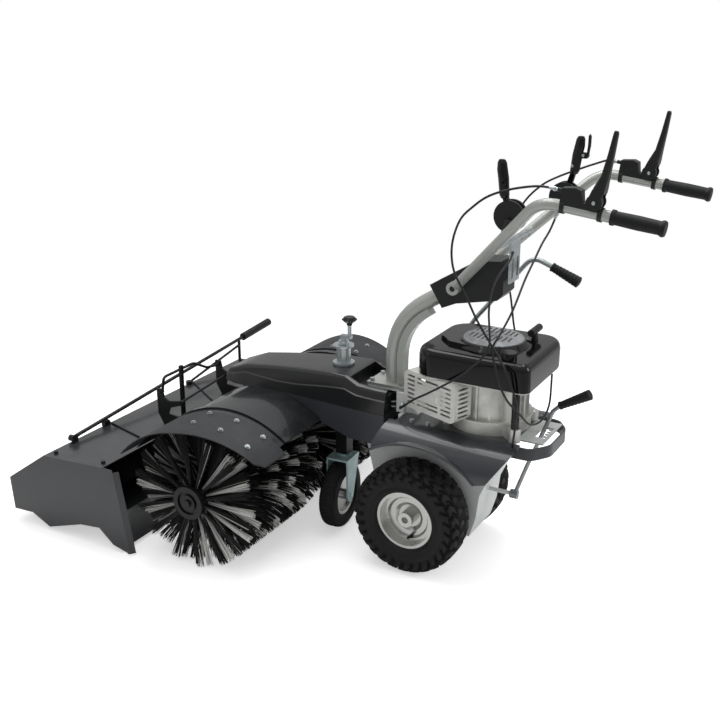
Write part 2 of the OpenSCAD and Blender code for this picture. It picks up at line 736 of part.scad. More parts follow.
module arm(side) {
    color("#b9bbbb") row() mirror([0, side == right ? 1 : 0, 0]) difference() {
        union() {
            swept(arm_path, arm_d, 20, [0, 1, 0]);
            translate([pivot_x, 0, pivot_z]) drum(arm_d + 8, -arm_y - arm_d / 2, -joint_half - gap);
        }
        translate([pivot_x, 0, pivot_z]) drum(pivot_d + 2 * run, -arm_y - arm_d, 0);
    }
}

module left_arm() {
    arm(left);
}
module right_arm() {
    arm(right);
}

module handle_grips() {
    r = grip_d / 2;
    outline = [[0, -grip_l], [r + 1.5, -grip_l], [r + 1.5, -grip_l + 7], [r - 1, -grip_l + 11],
        [r, -grip_l / 2], [r - 1, -14], [r + 2, -8], [r + 2, -4], [r, 0], [0, 0]];
    color("#1b1b1d") row() for (s = [left, right]) at_bar(s) difference() {
        rotate([0, 90, 0]) rotate_extrude() polygon(outline);
        dowel(arm_d + 2 * seat, -grip_l - 1, -8 + seat);
    }
}

// Cheeks round the housing's pivot, and a blade that gets slimmer towards its tip
module clutch_lever(side) {
    cheek = 13 + gap;
    wide = cheek + 5;
    bore = 8 + 2 * run;
    color("#151517") row() at_bar(side) {
        for (s = [left, right]) upright(s == left ? -wide : cheek, s == left ? -cheek : wide)
            translate(clutch_pivot) difference() {
                union() {
                    circle(d = 38);
                    polygon([[-15, 8], [14, 6], [18, 30], [-9, 30]]);
                }
                circle(d = bore);
            }
        translate([clutch_pivot[0], 0, clutch_pivot[1]])
            lofted([bar_ring(-10, 18, wide, 3, 22), bar_ring(-8, 19, wide, 4, 34),
                bar_ring(2, 20, 12, 4, 62), bar_ring(7, 21, 9, 3, clutch_l - 52),
                bar_ring(10, 21, 7, 3, clutch_l - 4), bar_ring(11, 19, 5, 2, clutch_l + 1)]);
    }
}

module left_clutch_lever() {
    clutch_lever(left);
}
module right_clutch_lever() {
    clutch_lever(right);
}

// Room for both bars, for pieces that are seated on them
module bar_room() {
    for (s = [left, right]) mirror([0, s == right ? 1 : 0, 0])
        swept(arm_path, arm_d + 2 * seat, 20, [0, 1, 0]);
}

// Lever shield with a slot in its middle, and a stalk to the bar
module shield(c, spot) {
    side = spot[1] < c[1] ? left : right;
    translate(c) {
        difference() {
            drum(80, -15, 15);
            difference() {
                drum(90, -6 - gap, 6 + gap);
                box([-30, -10, -46], [30, 10, -29]);
            }
        }
        drum(10, -16, 16);
    }
    difference() {
        rod(c + [0, side * 15, -8], spot, 17);
        bar_room();
    }
}

module control_housings() {
    color("#18181a") row() {
        for (s = [left, right]) at_bar(s) difference() {
            union() {
                upright(-13, 13) polygon([[-246, 2], [-246, 44], [-214, 50], [-200, 46], [-194, 20],
                    [-150, 17], [-140, 2]]);
                translate([clutch_pivot[0], 0, clutch_pivot[1]]) drum(32, -13, 13);
                translate([clutch_pivot[0], 0, clutch_pivot[1]]) drum(8, -19, 19);
                dowel(arm_d + 6, -244, -234);
                dowel(arm_d + 6, -154, -144);
                translate([0, 0, 36]) dowel(10, -258, -243);
            }
            dowel(arm_d + 2 * seat, -260, -130);
        }
        shield(left_control, left_bar_spot);
        shield(right_control, right_bar_spot);
    }
}

// Paddle lever on a shield: hub, stem up to the foot of the grip, and grip
module control_lever(c, reach, lean, foot) {
    middle = (foot + reach) / 2;
    color("#2c2f36") row() translate(c) difference() {
        union() {
            children();
            upright(-6, 6) union() {
                circle(d = 46);
                polygon([[-8, 0], [8, 0], [lean * 0.65 + 7, foot + 9], [lean * 0.65 - 7, foot + 9]]);
            }
            lofted([oval_ring(lean * 0.63, 9, 8, foot - 4), oval_ring(lean * 0.65, 13, 11, foot + 4),
                oval_ring(lean * 0.8, 14, 13, middle), oval_ring(lean * 0.93, 14, 12, reach - 26),
                oval_ring(lean * 0.98, 12, 10, reach - 8), oval_ring(lean, 8, 6, reach - 1),
                oval_ring(lean, 3, 2, reach)]);
        }
        drum(10 + 2 * run, -20, 20);
    }
}

module left_control_lever() {
    control_lever(left_control, 138, -29, 46);
}
module right_control_lever() {
    // Two ears and a pin hold the trigger behind the paddle
    control_lever(right_control, 162, 34, 66) translate([trigger[0], 0, trigger[1]]) {
        for (s = [left, right]) upright(s == left ? -7 : 3 + gap, s == left ? -3 - gap : 7)
            polygon([[-22, -8], [3, -7], [6, 0], [3, 7], [-20, 8]]);
        drum(4, -7, 7);
    }
}

module control_trigger() {
    pin = right_control + [trigger[0], 0, trigger[1]];
    color("#202226") row() translate(pin) upright(-3, 3) difference() {
        union() {
            circle(d = 11);
            polygon([[0, 0], [5, -2], [9, 26], [9, 50], [6, 56], [2, 52], [2, 30]]);
        }
        circle(d = 4 + 2 * run);
    }
}

module lock_bracket() {
    c = arm_start + (bar_bend - arm_start) * 0.5;
    face = 213.5;
    color("#b4b6b8") row() difference() {
        union() {
            translate([c[0] - 3, 0, c[2] - 6]) drum(16, c[1], -c[1]);
            box([face, -34, 846], [face + 5, 34, c[2]]);
        }
        for (s = [left, right]) box([face - 1, s * 18 - 5, 858], [face + 6, s * 18 + 5, 912]);
        bar_room();
    }
}

// Control cables

module cable(route) {
    color("#141416") row() swept(route, cable_d, 8, [0.3, 1, 0.1]);
}
module left_clutch_cable() {
    cable(left_clutch_route);
}
module right_clutch_cable() {
    cable(right_clutch_route);
}
module throttle_cable() {
    cable(throttle_route);
}
module brush_cable() {
    cable(brush_route);
}

// Levers on the drive unit

module gear_lever() {
    color("#77797c") row() {
        difference() {
            union() {
                swept(gear_path, 12, 16, [0, 1, 0]);
                translate([0, 0, gear_pivot[2]]) dowel(26, gear_pivot[0], gear_pivot[0] + 22);
            }
            translate([0, 0, gear_pivot[2]]) dowel(12 + 2 * run, gear_pivot[0] - 10, gear_pivot[0] + 40);
        }
        taper(gear_path[3], gear_grip_end, 19, 28);
    }
}

module angle_lever() {
    p = angle_pivot;
    color("#8d8f92") row() {
        difference() {
            union() {
                swept(eased(angle_path, 30, 4), 14, 16, [0, 1, 0]);
                translate([p[0], 0, p[2]]) drum(30, p[1] - 2 + gap, p[1] + 15);
            }
            translate([p[0], 0, p[2]]) drum(12 + 2 * run, p[1] - 20, p[1] + 40);
        }
        taper(angle_path[3], angle_grip_end, 22, 31);
    }
}

// Fasteners of the drive unit

module frame_bolts() {
    color("#c9cbcc") row() {
        for (x = [-192, -100], s = [left, right]) translate([x, s * 33, flange_z])
            cylinder(d = 15, h = 9, $fn = 6);
        for (x = [-20, 30], s = [left, right]) translate([x, s * 118, hood_top])
            cylinder(d = 15, h = 8, $fn = 6);
        for (a = foot_angles) translate([crank_x + foot_r * cos(a), foot_r * sin(a), hood_top + foot_h])
            cylinder(d = 13, h = 7, $fn = 6);
    }
}

// Wheels

// Hollow tyre with room for a rim of width flange_w and radius flange_r
module tyre(od, id, w, wall, flange_w, flange_r) {
    low = id / 2 - 2.5;
    middle = (od / 2 + low) / 2;
    half_h = (od / 2 - low) / 2;
    difference() {
        rotate_extrude() polygon(tyre_section(middle, half_h, w / 2));
        rotate_extrude() polygon(tyre_section(middle, half_h - wall, w / 2 - wall));
        translate([0, 0, -w / 4]) cylinder(r = middle, h = w / 2);
        translate([0, 0, -w]) cylinder(d = id, h = 2 * w);
        for (s = [-1, 1]) translate([0, 0, s * (flange_w / 2 + 5) - 5]) cylinder(r = flange_r, h = 10);
    }
}

module rim(side) {
    seat_r = rim_d / 2 - 8;
    half = rim_w / 2;
    dish = half - 34;
    color("#b3b2ae") row() at_wheel(side) {
        difference() {
            union() {
                rotate_extrude() polygon([[seat_r - 3, -half], [rim_d / 2, -half],
                    [rim_d / 2, -half + 3], [seat_r, -half + 6], [seat_r, half - 6],
                    [rim_d / 2, half - 3], [rim_d / 2, half], [seat_r - 3, half]]);
                rotate_extrude() polygon([[hub_d / 2 - 1, dish - 8], [36, dish - 8], [46, dish],
                    [60, dish], [66, dish + 8], [seat_r - 2, dish + 8], [seat_r - 2, dish + 12],
                    [64, dish + 12], [58, dish + 4], [44, dish + 4], [34, dish - 4],
                    [hub_d / 2 - 1, dish - 4]]);
                translate([0, 0, -half + 4]) cylinder(d = hub_d, h = 2 * half - 8);
            }
            translate([0, 0, half - 24]) cylinder(d = axle_d, h = 30);
        }
        translate([0, 0, 26 - wheel_y]) cylinder(d = axle_d, h = wheel_y - 26 + half - 20);
    }
}

module drive_tyre(side) {
    color("#1d1c1b") row() at_wheel(side)
        tyre(tyre_d, rim_d - 16 + 2 * seat, tyre_w, 10, rim_w - 12 - 2 * seat, rim_d / 2 + seat);
}
module left_tyre() {
    drive_tyre(left);
}
module right_tyre() {
    drive_tyre(right);
}
module left_rim() {
    rim(left);
}
module right_rim() {
    rim(right);
}

// Brush head

// Solid between two height outlines within the housing's plan, drawn in by t
module head_solid(low, high, t) {
    near = [for (p = housing_plan) [p[0] + (p[0] < -600 ? t : -t), -p[1] + t]];
    intersection() {
        translate([0, 0, 300]) linear_extrude(300)
            polygon(concat(near, reversed([for (p = near) [p[0], -p[1]]])));
        upright(-200, 200) polygon(concat(low, reversed(high)));
    }
}

// The seam as an outline, and an outline moved up by h
seam = [[-720, seam_z], [-100, seam_z]];
function raised(p, h) = [for (q = p) [q[0], q[1] + h]];
function inner(p) = [for (i = [1 : len(p) - 2]) p[i]];
function widened(p) = concat([p[0] - [10, 0]], inner(p), [p[len(p) - 1] + [10, 0]]);

module belt_housing() {
    hole = leg_w + 8 + 2 * seat;
    color("#3a3b3d") row() difference() {
        union() {
            difference() {
                head_solid(widened(pan_floor), seam, 0);
                head_solid(raised(widened(pan_floor), housing_t), raised(seam, 1), housing_t);
            }
            translate([swivel_x, 0, nose_z + 4]) cylinder(d = collar_d + 16, h = 30);
        }
        translate([swivel_x, 0, nose_z - 1]) cylinder(d = collar_d + 2 * run, h = 60);
        translate([castor_x, 0, 380]) cube([hole, hole, 120], center = true);
        translate([brush_x, 0, 400]) cube([64 + 2 * seat, 60 + 2 * seat, 60], center = true);
        // The engine's belt comes in through the rear end
        box([-126, -72, upper_belt_z - 12], [-100, 72, upper_belt_z + 12]);
    }
}

// Cross section of the belt cover at x, drawn in by t: upright wall, crease, rolled shoulder, top
cover_places = [-708, -700, -690, -660, -621, -560, -500, -424, -309, -252, -212, -170, -116];
crease = [[-708, 0.5], [-621, 0.62], [-560, 0.5], [-470, 0.36], [-360, 0.5], [-252, 0.6], [-116, 0.6]];
function cover_ring(x, t) =
    let (w = lookup(x, housing_plan) - t, low = seam_z - (t > 0 ? 1 : 0), top = lookup(x, cover_top) - t,
        rise = top - seam_z, fold = seam_z + rise * lookup(x, crease),
        near = [[-w, low], [-w + 1, seam_z + 4], [-w + 2, fold - 1.5], [-w + 6, fold + 1.5],
            [-w + 9, top - 0.15 * rise], [-w + 13, top - 0.05 * rise], [-w + 20, top]])
    [for (p = concat(reversed(near), [for (p = near) [-p[0], p[1]]])) [x, p[0], p[1]]];

module housing_cover() {
    color("#2e2f31") row() difference() {
        lofted([for (x = cover_places) cover_ring(x, 0)]);
        difference() {
            lofted([for (x = cover_places) cover_ring(min(max(x, -705), -119), housing_t)]);
            box([pocket_x - housing_t, -pocket_half - housing_t, pocket_z - housing_t],
                [-100, pocket_half + housing_t, 600]);
        }
        // Sunk pocket under the steering column's flange
        box([pocket_x, -pocket_half, pocket_z], [-100, pocket_half, 600]);
        // The upper pulley reaches out through the rear end
        box([-126, -64, head_belt_z - 13], [-100, 64, head_belt_z + 13]);
        translate([swivel_x, 0, 400]) cylinder(d = swivel_shaft_d + 16, h = 120);
        translate([castor_x, 0, 480]) cube([leg_w + 8 + 2 * seat, leg_w + 8 + 2 * seat, 120],
            center = true);
    }
}

module head_belt() {
    low = head_belt_z - belt_w / 2;
    color("#202124") row() translate([0, 0, low]) linear_extrude(belt_w) difference() {
        polygon(belt_loop(brush_x, head_pulley_r + belt_room + belt_t, swivel_x,
            head_pulley_r + belt_room + belt_t));
        polygon(belt_loop(brush_x, head_pulley_r + belt_room, swivel_x, head_pulley_r + belt_room));
    }
}

module swivel_shaft() {
    color("#85888b") row() translate([swivel_x, 0, 0]) {
        translate([0, 0, nose_z - 28]) cylinder(d = swivel_shaft_d, h = bracket_z - 2 - nose_z + 28);
        pulley(swivel_pulley_r, upper_belt_z);
        pulley(head_pulley_r, head_belt_z);
    }
}

module brush_gearbox() {
    color("#4a4c4f") row() translate([brush_x, 0, 0]) difference() {
        union() {
            translate([0, 0, brush_z]) drum(124, -44, 44);
            box([-32, -30, brush_z], [32, 30, 422]);
            for (s = [left, right]) translate([0, 0, brush_z]) drum(70, s == left ? -54 : 40,
                s == left ? -40 : 54);
        }
        translate([0, 0, brush_z]) drum(brush_shaft_d + 2 * run, -60, 60);
        translate([0, 0, brush_z + 50]) cylinder(d = 20 + 2 * run, h = 300);
    }
}

module brush_input() {
    color("#85888b") row() translate([brush_x, 0, 0]) {
        translate([0, 0, brush_z + 52]) cylinder(d = 20, h = head_belt_z - brush_z - 52);
        pulley(head_pulley_r, head_belt_z);
    }
}

// Part of the guard's arch, between two radii, two angles and two distances from the middle
module arch(r, t, a, b, y0, y1) {
    translate([guard_x, 0, guard_z]) upright(y0, y1)
        polygon(concat(arc([0, 0], r, a, b, 22), arc([0, 0], r + t, b, a, 22)));
}

module brush_guards() {
    lip = [guard_x + guard_r * cos(guard_front), guard_z + guard_r * sin(guard_front)];
    color("#54575b") row() difference() {
        union() {
            for (s = [left, right]) mirror([0, s == right ? 1 : 0, 0]) {
                arch(guard_r, guard_t, guard_rear, guard_front, -guard_reach, -guard_inner);
                arch(guard_r, guard_t + 5, guard_rear, guard_front - 8, -guard_rib_y - 7,
                    -guard_rib_y + 7);
                // Straps from the guard's front edge to the hinge rod
                for (y = [guard_rib_y + 19, guard_rib_y - 81]) upright(-y - 6, -y + 6)
                    polygon([lip + [19, 12], lip + [9, 22], [hinge_x - 5, hinge_z + 5],
                        [hinge_x + 5, hinge_z - 5]]);
            }
            translate([hinge_x, 0, hinge_z]) drum(hinge_d, -316, 316);
        }
        head_solid(widened(pan_floor), widened(cover_top), -seat);
    }
}

module guard_flaps() {
    color("#2b2c2d") row() for (s = [left, right]) mirror([0, s == right ? 1 : 0, 0])
        intersection() {
            arch(guard_r + guard_t + flap_gap, flap_t, guard_rear - 6, guard_front - 2, -flap_reach,
                -guard_rib_y - 38);
            // The outer edge slants in towards the rear
            linear_extrude(600) polygon([[-800, -guard_rib_y], [-800, -flap_reach], [-560, -flap_reach],
                [-330, -flap_reach + 52], [-310, -flap_reach + 80], [-310, -guard_rib_y]]);
        }
}

// Dome head bolts that hold the flaps, standing on the flap
module guard_bolts() {
    seat_r = guard_r + guard_t + flap_gap + flap_t + 0.1;
    color("#d8dadb") row() for (s = [left, right], a = [62, 79, 96], y = [flap_reach - 160, flap_reach - 84])
        translate([guard_x, s * y, guard_z]) rotate([0, 90 - a, 0]) translate([0, 0, seat_r]) {
            cylinder(d = 16, h = 2);
            cylinder(d = 11, h = 6);
        }
}

module spindle_tube() {
    outer = leg_w + 8;
    room = leg_w / 2 + gap;
    top = 584;
    color("#9d9fa1") row() translate([castor_x, 0, 0]) difference() {
        union() {
            translate([-outer / 2, -outer / 2, 352]) cube([outer, outer, 160]);
            translate([0, 0, 510]) cylinder(d = 42, h = top - 510);
            translate([0, 0, 523]) cylinder(d = 66, h = 7);
            translate([0, 0, top - 5]) cylinder(d = 62, h = 5);
        }
        box([-room, -room, 340], [room, room, 500]);
        translate([0, 0, 490]) cylinder(d = screw_d + 2 * run, h = 120);
    }
}

module height_crank() {
    top = 614;
    color("#b9bbbd") row() translate([castor_x, 0, 0]) {
        translate([0, 0, 360]) cylinder(d = screw_d, h = top - 360);
        translate([0, 0, 584 + gap]) cylinder(d = 30, h = 12);
        box([-8, -8, top - 10], [26, 8, top]);
        translate([20, 0, top - 10]) cylinder(d = 12, h = 42);
    }
}

module crank_knob() {
    base = 646 + seat;
    color("#161618") row() translate([castor_x + 20, 0, base]) {
        cylinder(d1 = 16, d2 = 20, h = 10);
        translate([0, 0, 10]) cylinder(d1 = 30, d2 = 46, h = 8);
        translate([0, 0, 18]) cylinder(d1 = 46, d2 = 30, h = 8);
    }
}

// Castor: leg, fork and wheel. In the fork's frame the wheel trails along +X

module castor_leg() {
    foot = castor_d + 24;
    color("#1c1c1e") row() translate([castor_x, 0, 0]) difference() {
        translate([-leg_w / 2, -leg_w / 2, foot]) cube([leg_w, leg_w, 470 - foot]);
        translate([0, 0, foot + 42]) cylinder(d = leg_w - 8, h = 150);
        translate([0, 0, foot - 1]) cylinder(d = screw_d + 2 * run, h = 38);
        translate([0, 0, foot + 100]) cylinder(d = screw_d + 2 * gap, h = 200);
    }
}

module at_castor() {
    translate([castor_x, 0, 0]) rotate([0, 0, castor_turn]) children();
}

module castor_fork() {
    crown = castor_d + 12;
    inside = castor_w / 2 + 4;
    axle = castor_d / 2;
    trail = castor_trail;
    cheek = [[-30, crown + 6], [trail - 20, axle - 6], [trail - 12, axle - 18],
        [trail + 12, axle - 18], [trail + 20, axle], [trail + 22, crown + 6]];
    color("#b7c4c6") row() at_castor() {
        box([-30, -inside - 5, crown], [trail + 22, inside + 5, crown + 6]);
        upright(-inside - 5, -inside) polygon(cheek);
        upright(inside, inside + 5) polygon(cheek);
        translate([0, 0, crown]) cylinder(d = 44, h = 12 - gap);
        translate([0, 0, crown]) cylinder(d = screw_d, h = 44);
        translate([castor_trail, 0, axle]) drum(14, -inside - 8, inside + 8);
    }
}

module at_castor_wheel() {
    at_castor() translate([castor_trail, 0, castor_d / 2]) rotate([90, 0, 0]) children();
}

module castor_tyre() {
    color("#1d1c1b") row() at_castor_wheel()
        tyre(castor_d, castor_d - 84, castor_w, 7, castor_w, castor_d / 2 - 42);
}

module castor_rim() {
    r = (castor_d - 84) / 2 - seat;
    half = castor_w / 2;
    color("#d6d7d5") row() at_castor_wheel() difference() {
        rotate_extrude() polygon([[6, -half], [16, -half], [16, -10], [r - 8, -10],
            [r - 8, -half + 10], [r, -half + 8], [r, half - 8], [r - 8, half - 10], [r - 8, 10],
            [16, 10], [16, half], [6, half]]);
        translate([0, 0, -half - 1]) cylinder(d = 14 + 2 * run, h = 2 * half + 2);
    }
}

// Brush

module brush_shaft() {
    end = brush_w / 2 - 10;
    color("#232325") row() translate([brush_x, 0, brush_z]) {
        drum(brush_shaft_d, -end, end);
        for (s = [left, right]) {
            a = brush_gap / 2 - 4;
            drum(core_d - 8, s == left ? -end + 6 : a, s == left ? -a : end - 6);
            difference() {
                drum(core_d + 4, s == left ? -end - 6 : end - 6, s == left ? -end + 6 : end + 6);
                difference() {
                    drum(core_d - 26, s == left ? -end - 7 : end, s == left ? -end : end + 7);
                    drum(core_d - 46, s == left ? -end - 8 : end - 1, s == left ? -end + 1 : end + 8);
                }
            }
            drum(22, s == left ? -end - 12 : end - 6, s == left ? -end + 6 : end + 12);
        }
    }
}

// One half of the brush: a sleeve whose odd cells stand up as tufts of four sides.
// Row j of the sleeve's grid is turned on by a little, so that the tufts run in spirals:
// the last row is "twist" cells further round than the first.
module bristles(side) {
    y0 = brush_gap / 2;
    y1 = brush_w / 2 - 18;
    nu = 2 * tufts_round;
    nv = 2 * tuft_rows + 1;
    twist = 11;
    turn = twist * 360 / (nu * nv);
    root = core_d / 2;
    bore = (core_d / 2 - 4 + seat) / cos(180 / nu);
    tip = brush_d / 2;
    flare = 0.5;
    function around(i, j) = 360 * i / nu + turn * j;
    function along(j) = y0 + (y1 - y0) * j / nv;
    function spot(r, a, y) = [r * cos(a), side * y, r * sin(a)];
    sleeve = [for (j = [0 : nv], i = [0 : nu - 1]) spot(root, around(i, j), along(j))];
    inner = [for (j = [0, nv], i = [0 : nu - 1]) spot(bore, around(i, 0), along(j))];
    cells = [for (j = [1 : 2 : nv - 1], i = [1 : 2 : nu - 1]) [i, j]];
    function corners(i, j) = [[i, j], [i + 1, j], [i + 1, j + 1], [i, j + 1]];
    tips = [for (c = cells) each [for (k = corners(c[0], c[1]))
        let (mid_a = around(c[0] + 0.5, c[1] + 0.5), mid_y = along(c[1] + 0.5))
        spot(tip, mid_a + flare * (around(k[0], k[1]) - mid_a), mid_y + flare * (along(k[1]) - mid_y))]];
    function at(i, j) = j * nu + (i + nu) % nu;
    base_in = len(sleeve);
    base_tip = base_in + len(inner);
    function quad(a, b, c, d) = [[a, b, c], [a, c, d]];
    skin = [for (j = [0 : nv - 1], i = [0 : nu - 1]) if (i % 2 == 0 || j % 2 == 0)
        each quad(at(i, j), at(i, j + 1), at(i + 1, j + 1), at(i + 1, j))];
    stands = [for (n = [0 : len(cells) - 1])
        let (i = cells[n][0], j = cells[n][1], t = base_tip + 4 * n,
            foot = [at(i, j), at(i + 1, j), at(i + 1, j + 1), at(i, j + 1)])
        each concat([for (k = [0 : 3]) each quad(foot[k], t + k, t + (k + 1) % 4, foot[(k + 1) % 4])],
            quad(t, t + 3, t + 2, t + 1))];
    lining = [for (i = [0 : nu - 1]) let (k = (i + 1) % nu, far = base_in + nu)
        each concat(quad(base_in + i, base_in + k, far + k, far + i),
            quad(at(i, 0), at(i + 1, 0), base_in + k, base_in + i),
            quad(at(i, nv), far + (i + twist) % nu, far + (k + twist) % nu, at(i + 1, nv)))];
    faces = concat(skin, stands, lining);
    color("#3a3936") row() translate([brush_x, 0, brush_z])
        polyhedron([for (p = concat(sleeve, inner, tips)) p],
            side == right ? faces : [for (f = faces) [f[2], f[1], f[0]]]);
}

module left_bristles() {
    bristles(left);
}
module right_bristles() {
    bristles(right);
}

// Dirt collector

module collector_bin() {
    lean = atan2(bin_side_rear[0][0] - bin_side_rear[1][0], bin_side_rear[1][1] - bin_side_rear[0][1]);
    tall = norm(bin_side_rear[1] - bin_side_rear[0]);
    color("#4a4d50") row() {
        upright(-bin_y + bin_t, bin_y - bin_t) polygon(strip(bin_path, bin_t));
        for (s = [left, right]) mirror([0, s == right ? 1 : 0, 0]) {
            upright(-bin_y, -bin_y + bin_t) polygon(concat([bin_path[0]],
                [for (i = [1 : 7]) bin_path[i]], [[-810, 20]], bin_side_rear));
            // Rear edge of the side plate, bent in
            translate([bin_side_rear[0][0], -bin_y, bin_side_rear[0][1]]) rotate([0, -lean, 0])
                linear_extrude(tall - 8) polygon([[-8, 0], [0, 0], [13, 13], [11, 15], [-1, 3], [-8, 3]]);
        }
    }
}

// Height of the collector's top at a given x
function bin_top(x) = bin_path[1][1] + (x - bin_path[1][0]) * (bin_path[0][1] - bin_path[1][1])
    / (bin_path[0][0] - bin_path[1][0]);

module collector_brackets() {
    stand_z = bin_top(lever_x + 14);
    color("#1a1b1c") row() {
        difference() {
            union() {
                for (s = [left, right]) upright(s * bracket_y - 3, s * bracket_y + 3) {
                    polygon([[-886, bin_top(-886)], [-906, 300], [-908, 384], [-886, 384],
                        [-880, 358], [-862, 348], [-816, 356], [-812, 342], [-858, 326], [-866, 304],
                        [hinge_x, hinge_z + 12], [hinge_x, hinge_z - 12], [-828, bin_top(-828)]]);
                    translate([hinge_x, hinge_z]) circle(r = 13);
                }
                rod([-818, -bracket_y, 349], [-866, bracket_y, 338], 8);
                box([-856, -106, bin_top(-836)], [-846, -94, 452]);
                box([-870, -112, bin_top(-836)], [-836, -88, bin_top(-836) + 4]);
                // Post and brace on which the collector lever rests
                translate([lever_x, post_y, stand_z])
                    cylinder(d = 11, h = lever_at(post_y)[2] - lever_d / 2 - gap - stand_z);
                rod([lever_x, 190, stand_z + 6], [lever_x, post_y, 312], 9);
                translate([lever_x, 190, stand_z]) cylinder(d = 22, h = 12);
                // Ear and pin of the collector lever, and the saddle under it
                box([lever_x + 8, lever_pivot[1] - 12, stand_z],
                    [lever_x + 14, lever_pivot[1] + 12, lever_pivot[2] + 12]);
                translate(lever_pivot) dowel(8, -8, 14);
                box([lever_x - 7, -252, stand_z], [lever_x + 7, -228,
                    lever_at(-252)[2] - lever_d / 2 - 1]);
            }
            translate([hinge_x, 0, hinge_z]) drum(hinge_d + 2 * run, -200, 200);
            for (s = [left, right]) translate([latch_x, 0, latch_z]) drum(9 + 2 * run,
                s * bracket_y - 10, s * bracket_y + 10);
        }
        for (x = [-1040, -850], s = [left, right])
            translate([x, s * (bin_y - 30), bin_top(x) + 0.4]) cylinder(d = 13, h = 6);
    }
}

module collector_lever() {
    color("#1d1e20") row() difference() {
        union() {
            rod(lever_pivot, lever_end - 6 * lever_aim, lever_d);
            translate(lever_pivot) dowel(20, -8, 8 - gap);
        }
        translate(lever_pivot) dowel(8 + 2 * run, -20, 20);
    }
}

module collector_grip() {
    start = lever_at(lever_grip_y);
    color("#141415") row() difference() {
        rod(start, lever_end, lever_grip_d);
        rod(start - lever_aim, lever_end - (6 - seat) * lever_aim, lever_d + 2 * seat);
    }
}

module latch_handle() {
    y = bracket_y - 3 - gap;
    bend = [[latch_x, -y + 6, latch_z], [latch_x + 8, -y + 6, latch_z + 50],
        [latch_x + 14, 0, latch_z + 54], [latch_x + 6, 80, latch_z + 12], [latch_x, y - 8, latch_z]];
    color("#26272a") row() {
        swept(eased(bend, 14, 4), 9, 12, [1, 0.2, 0.1]);
        for (s = [left, right]) translate([latch_x, 0, latch_z])
            drum(9, s == left ? -bracket_y - 6 : y - 14, s == left ? -y + 10 : bracket_y + 6);
    }
}

chassis_frame();
hood();
rear_bumper();
gearbox();
gearbox_pulley();
engine_block();
muffler_guard();
engine_shroud();
shroud_cap();
column_tube();
joint_cover();
drive_belts();
frame_bolts();
left_clutch_cable();
right_clutch_cable();
throttle_cable();
brush_cable();
crankshaft();
left_tyre();
left_rim();
right_tyre();
right_rim();
belt_housing();
housing_cover();
head_belt();
brush_gearbox();
brush_guards();
guard_flaps();
guard_bolts();
spindle_tube();
swivel_shaft();
brush_input();
brush_shaft();
left_bristles();
right_bristles();
height_crank();
crank_knob();
castor_leg();
castor_fork();
castor_tyre();
castor_rim();
collector_bin();
collector_brackets();
collector_lever();
collector_grip();
latch_handle();
left_arm();
right_arm();
handle_grips();
control_housings();
lock_bracket();
left_clutch_lever();
right_clutch_lever();
left_control_lever();
right_control_lever();
control_trigger();
gear_lever();
angle_lever();
starter_handle();
fuel_cap();
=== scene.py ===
# %% [markdown]
# # A walk-behind power sweeper in a white studio
# The solids of the machine come packed in one frame, with the joints that move them. This lesson
# dresses them: it gives every solid a finish made of shader nodes, and replaces the few that are
# soft or finely patterned (brush, tyres, control cables) by surfaces worked out with numpy.
# Everything is in metres. The machine travels towards -X, and the ground is at z = 0.

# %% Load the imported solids
import math
import bpy
import numpy as np
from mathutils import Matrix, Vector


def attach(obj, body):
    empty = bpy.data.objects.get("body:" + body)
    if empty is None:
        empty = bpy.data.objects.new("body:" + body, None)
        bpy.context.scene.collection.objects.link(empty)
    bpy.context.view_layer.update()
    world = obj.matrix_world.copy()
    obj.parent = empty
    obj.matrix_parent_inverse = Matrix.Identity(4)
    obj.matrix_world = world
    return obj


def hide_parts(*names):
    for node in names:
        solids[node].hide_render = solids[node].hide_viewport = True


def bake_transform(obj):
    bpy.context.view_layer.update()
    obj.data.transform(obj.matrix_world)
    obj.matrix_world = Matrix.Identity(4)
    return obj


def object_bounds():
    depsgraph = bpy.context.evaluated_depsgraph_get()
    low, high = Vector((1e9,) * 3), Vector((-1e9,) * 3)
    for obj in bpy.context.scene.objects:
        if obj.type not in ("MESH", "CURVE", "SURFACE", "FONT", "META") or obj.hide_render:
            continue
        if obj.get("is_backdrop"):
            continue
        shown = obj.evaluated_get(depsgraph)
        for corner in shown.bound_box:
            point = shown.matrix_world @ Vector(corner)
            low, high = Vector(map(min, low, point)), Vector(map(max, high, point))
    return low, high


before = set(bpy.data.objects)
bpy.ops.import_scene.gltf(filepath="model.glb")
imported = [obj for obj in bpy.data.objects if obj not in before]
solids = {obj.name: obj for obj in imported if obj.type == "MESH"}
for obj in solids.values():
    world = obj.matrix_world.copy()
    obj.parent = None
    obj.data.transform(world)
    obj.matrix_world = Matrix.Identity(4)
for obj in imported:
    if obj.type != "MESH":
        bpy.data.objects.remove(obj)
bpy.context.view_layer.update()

# %% [markdown]
# ## Where things are
# The drawings of the machine are measured in millimetres from the middle of the drive axle, which
# is easier to think in than the middle of the whole footprint. One function moves such points
# into the shared frame.

# %% From drawing to frame
AXLE_IN_FRAME = np.array([281.47, -95.278, 0.0])
NEAR, FAR = -1, 1


def placed(points):
    """Points in mm from the axle, in the frame in metres: add the axle's place, divide by 1000."""
    return (np.asarray(points, float) + AXLE_IN_FRAME) / 1000.0


print("axle at", placed([0, 0, 165]).round(4).tolist())

# %% [markdown]
# ## Camera
# The picture looks at the machine from behind its left side, a little from above. The place, the
# two angles and the lens were found by fitting the wheel, the brush and the collector's edges to
# the photograph, so the camera is set from those numbers and not from a helper.

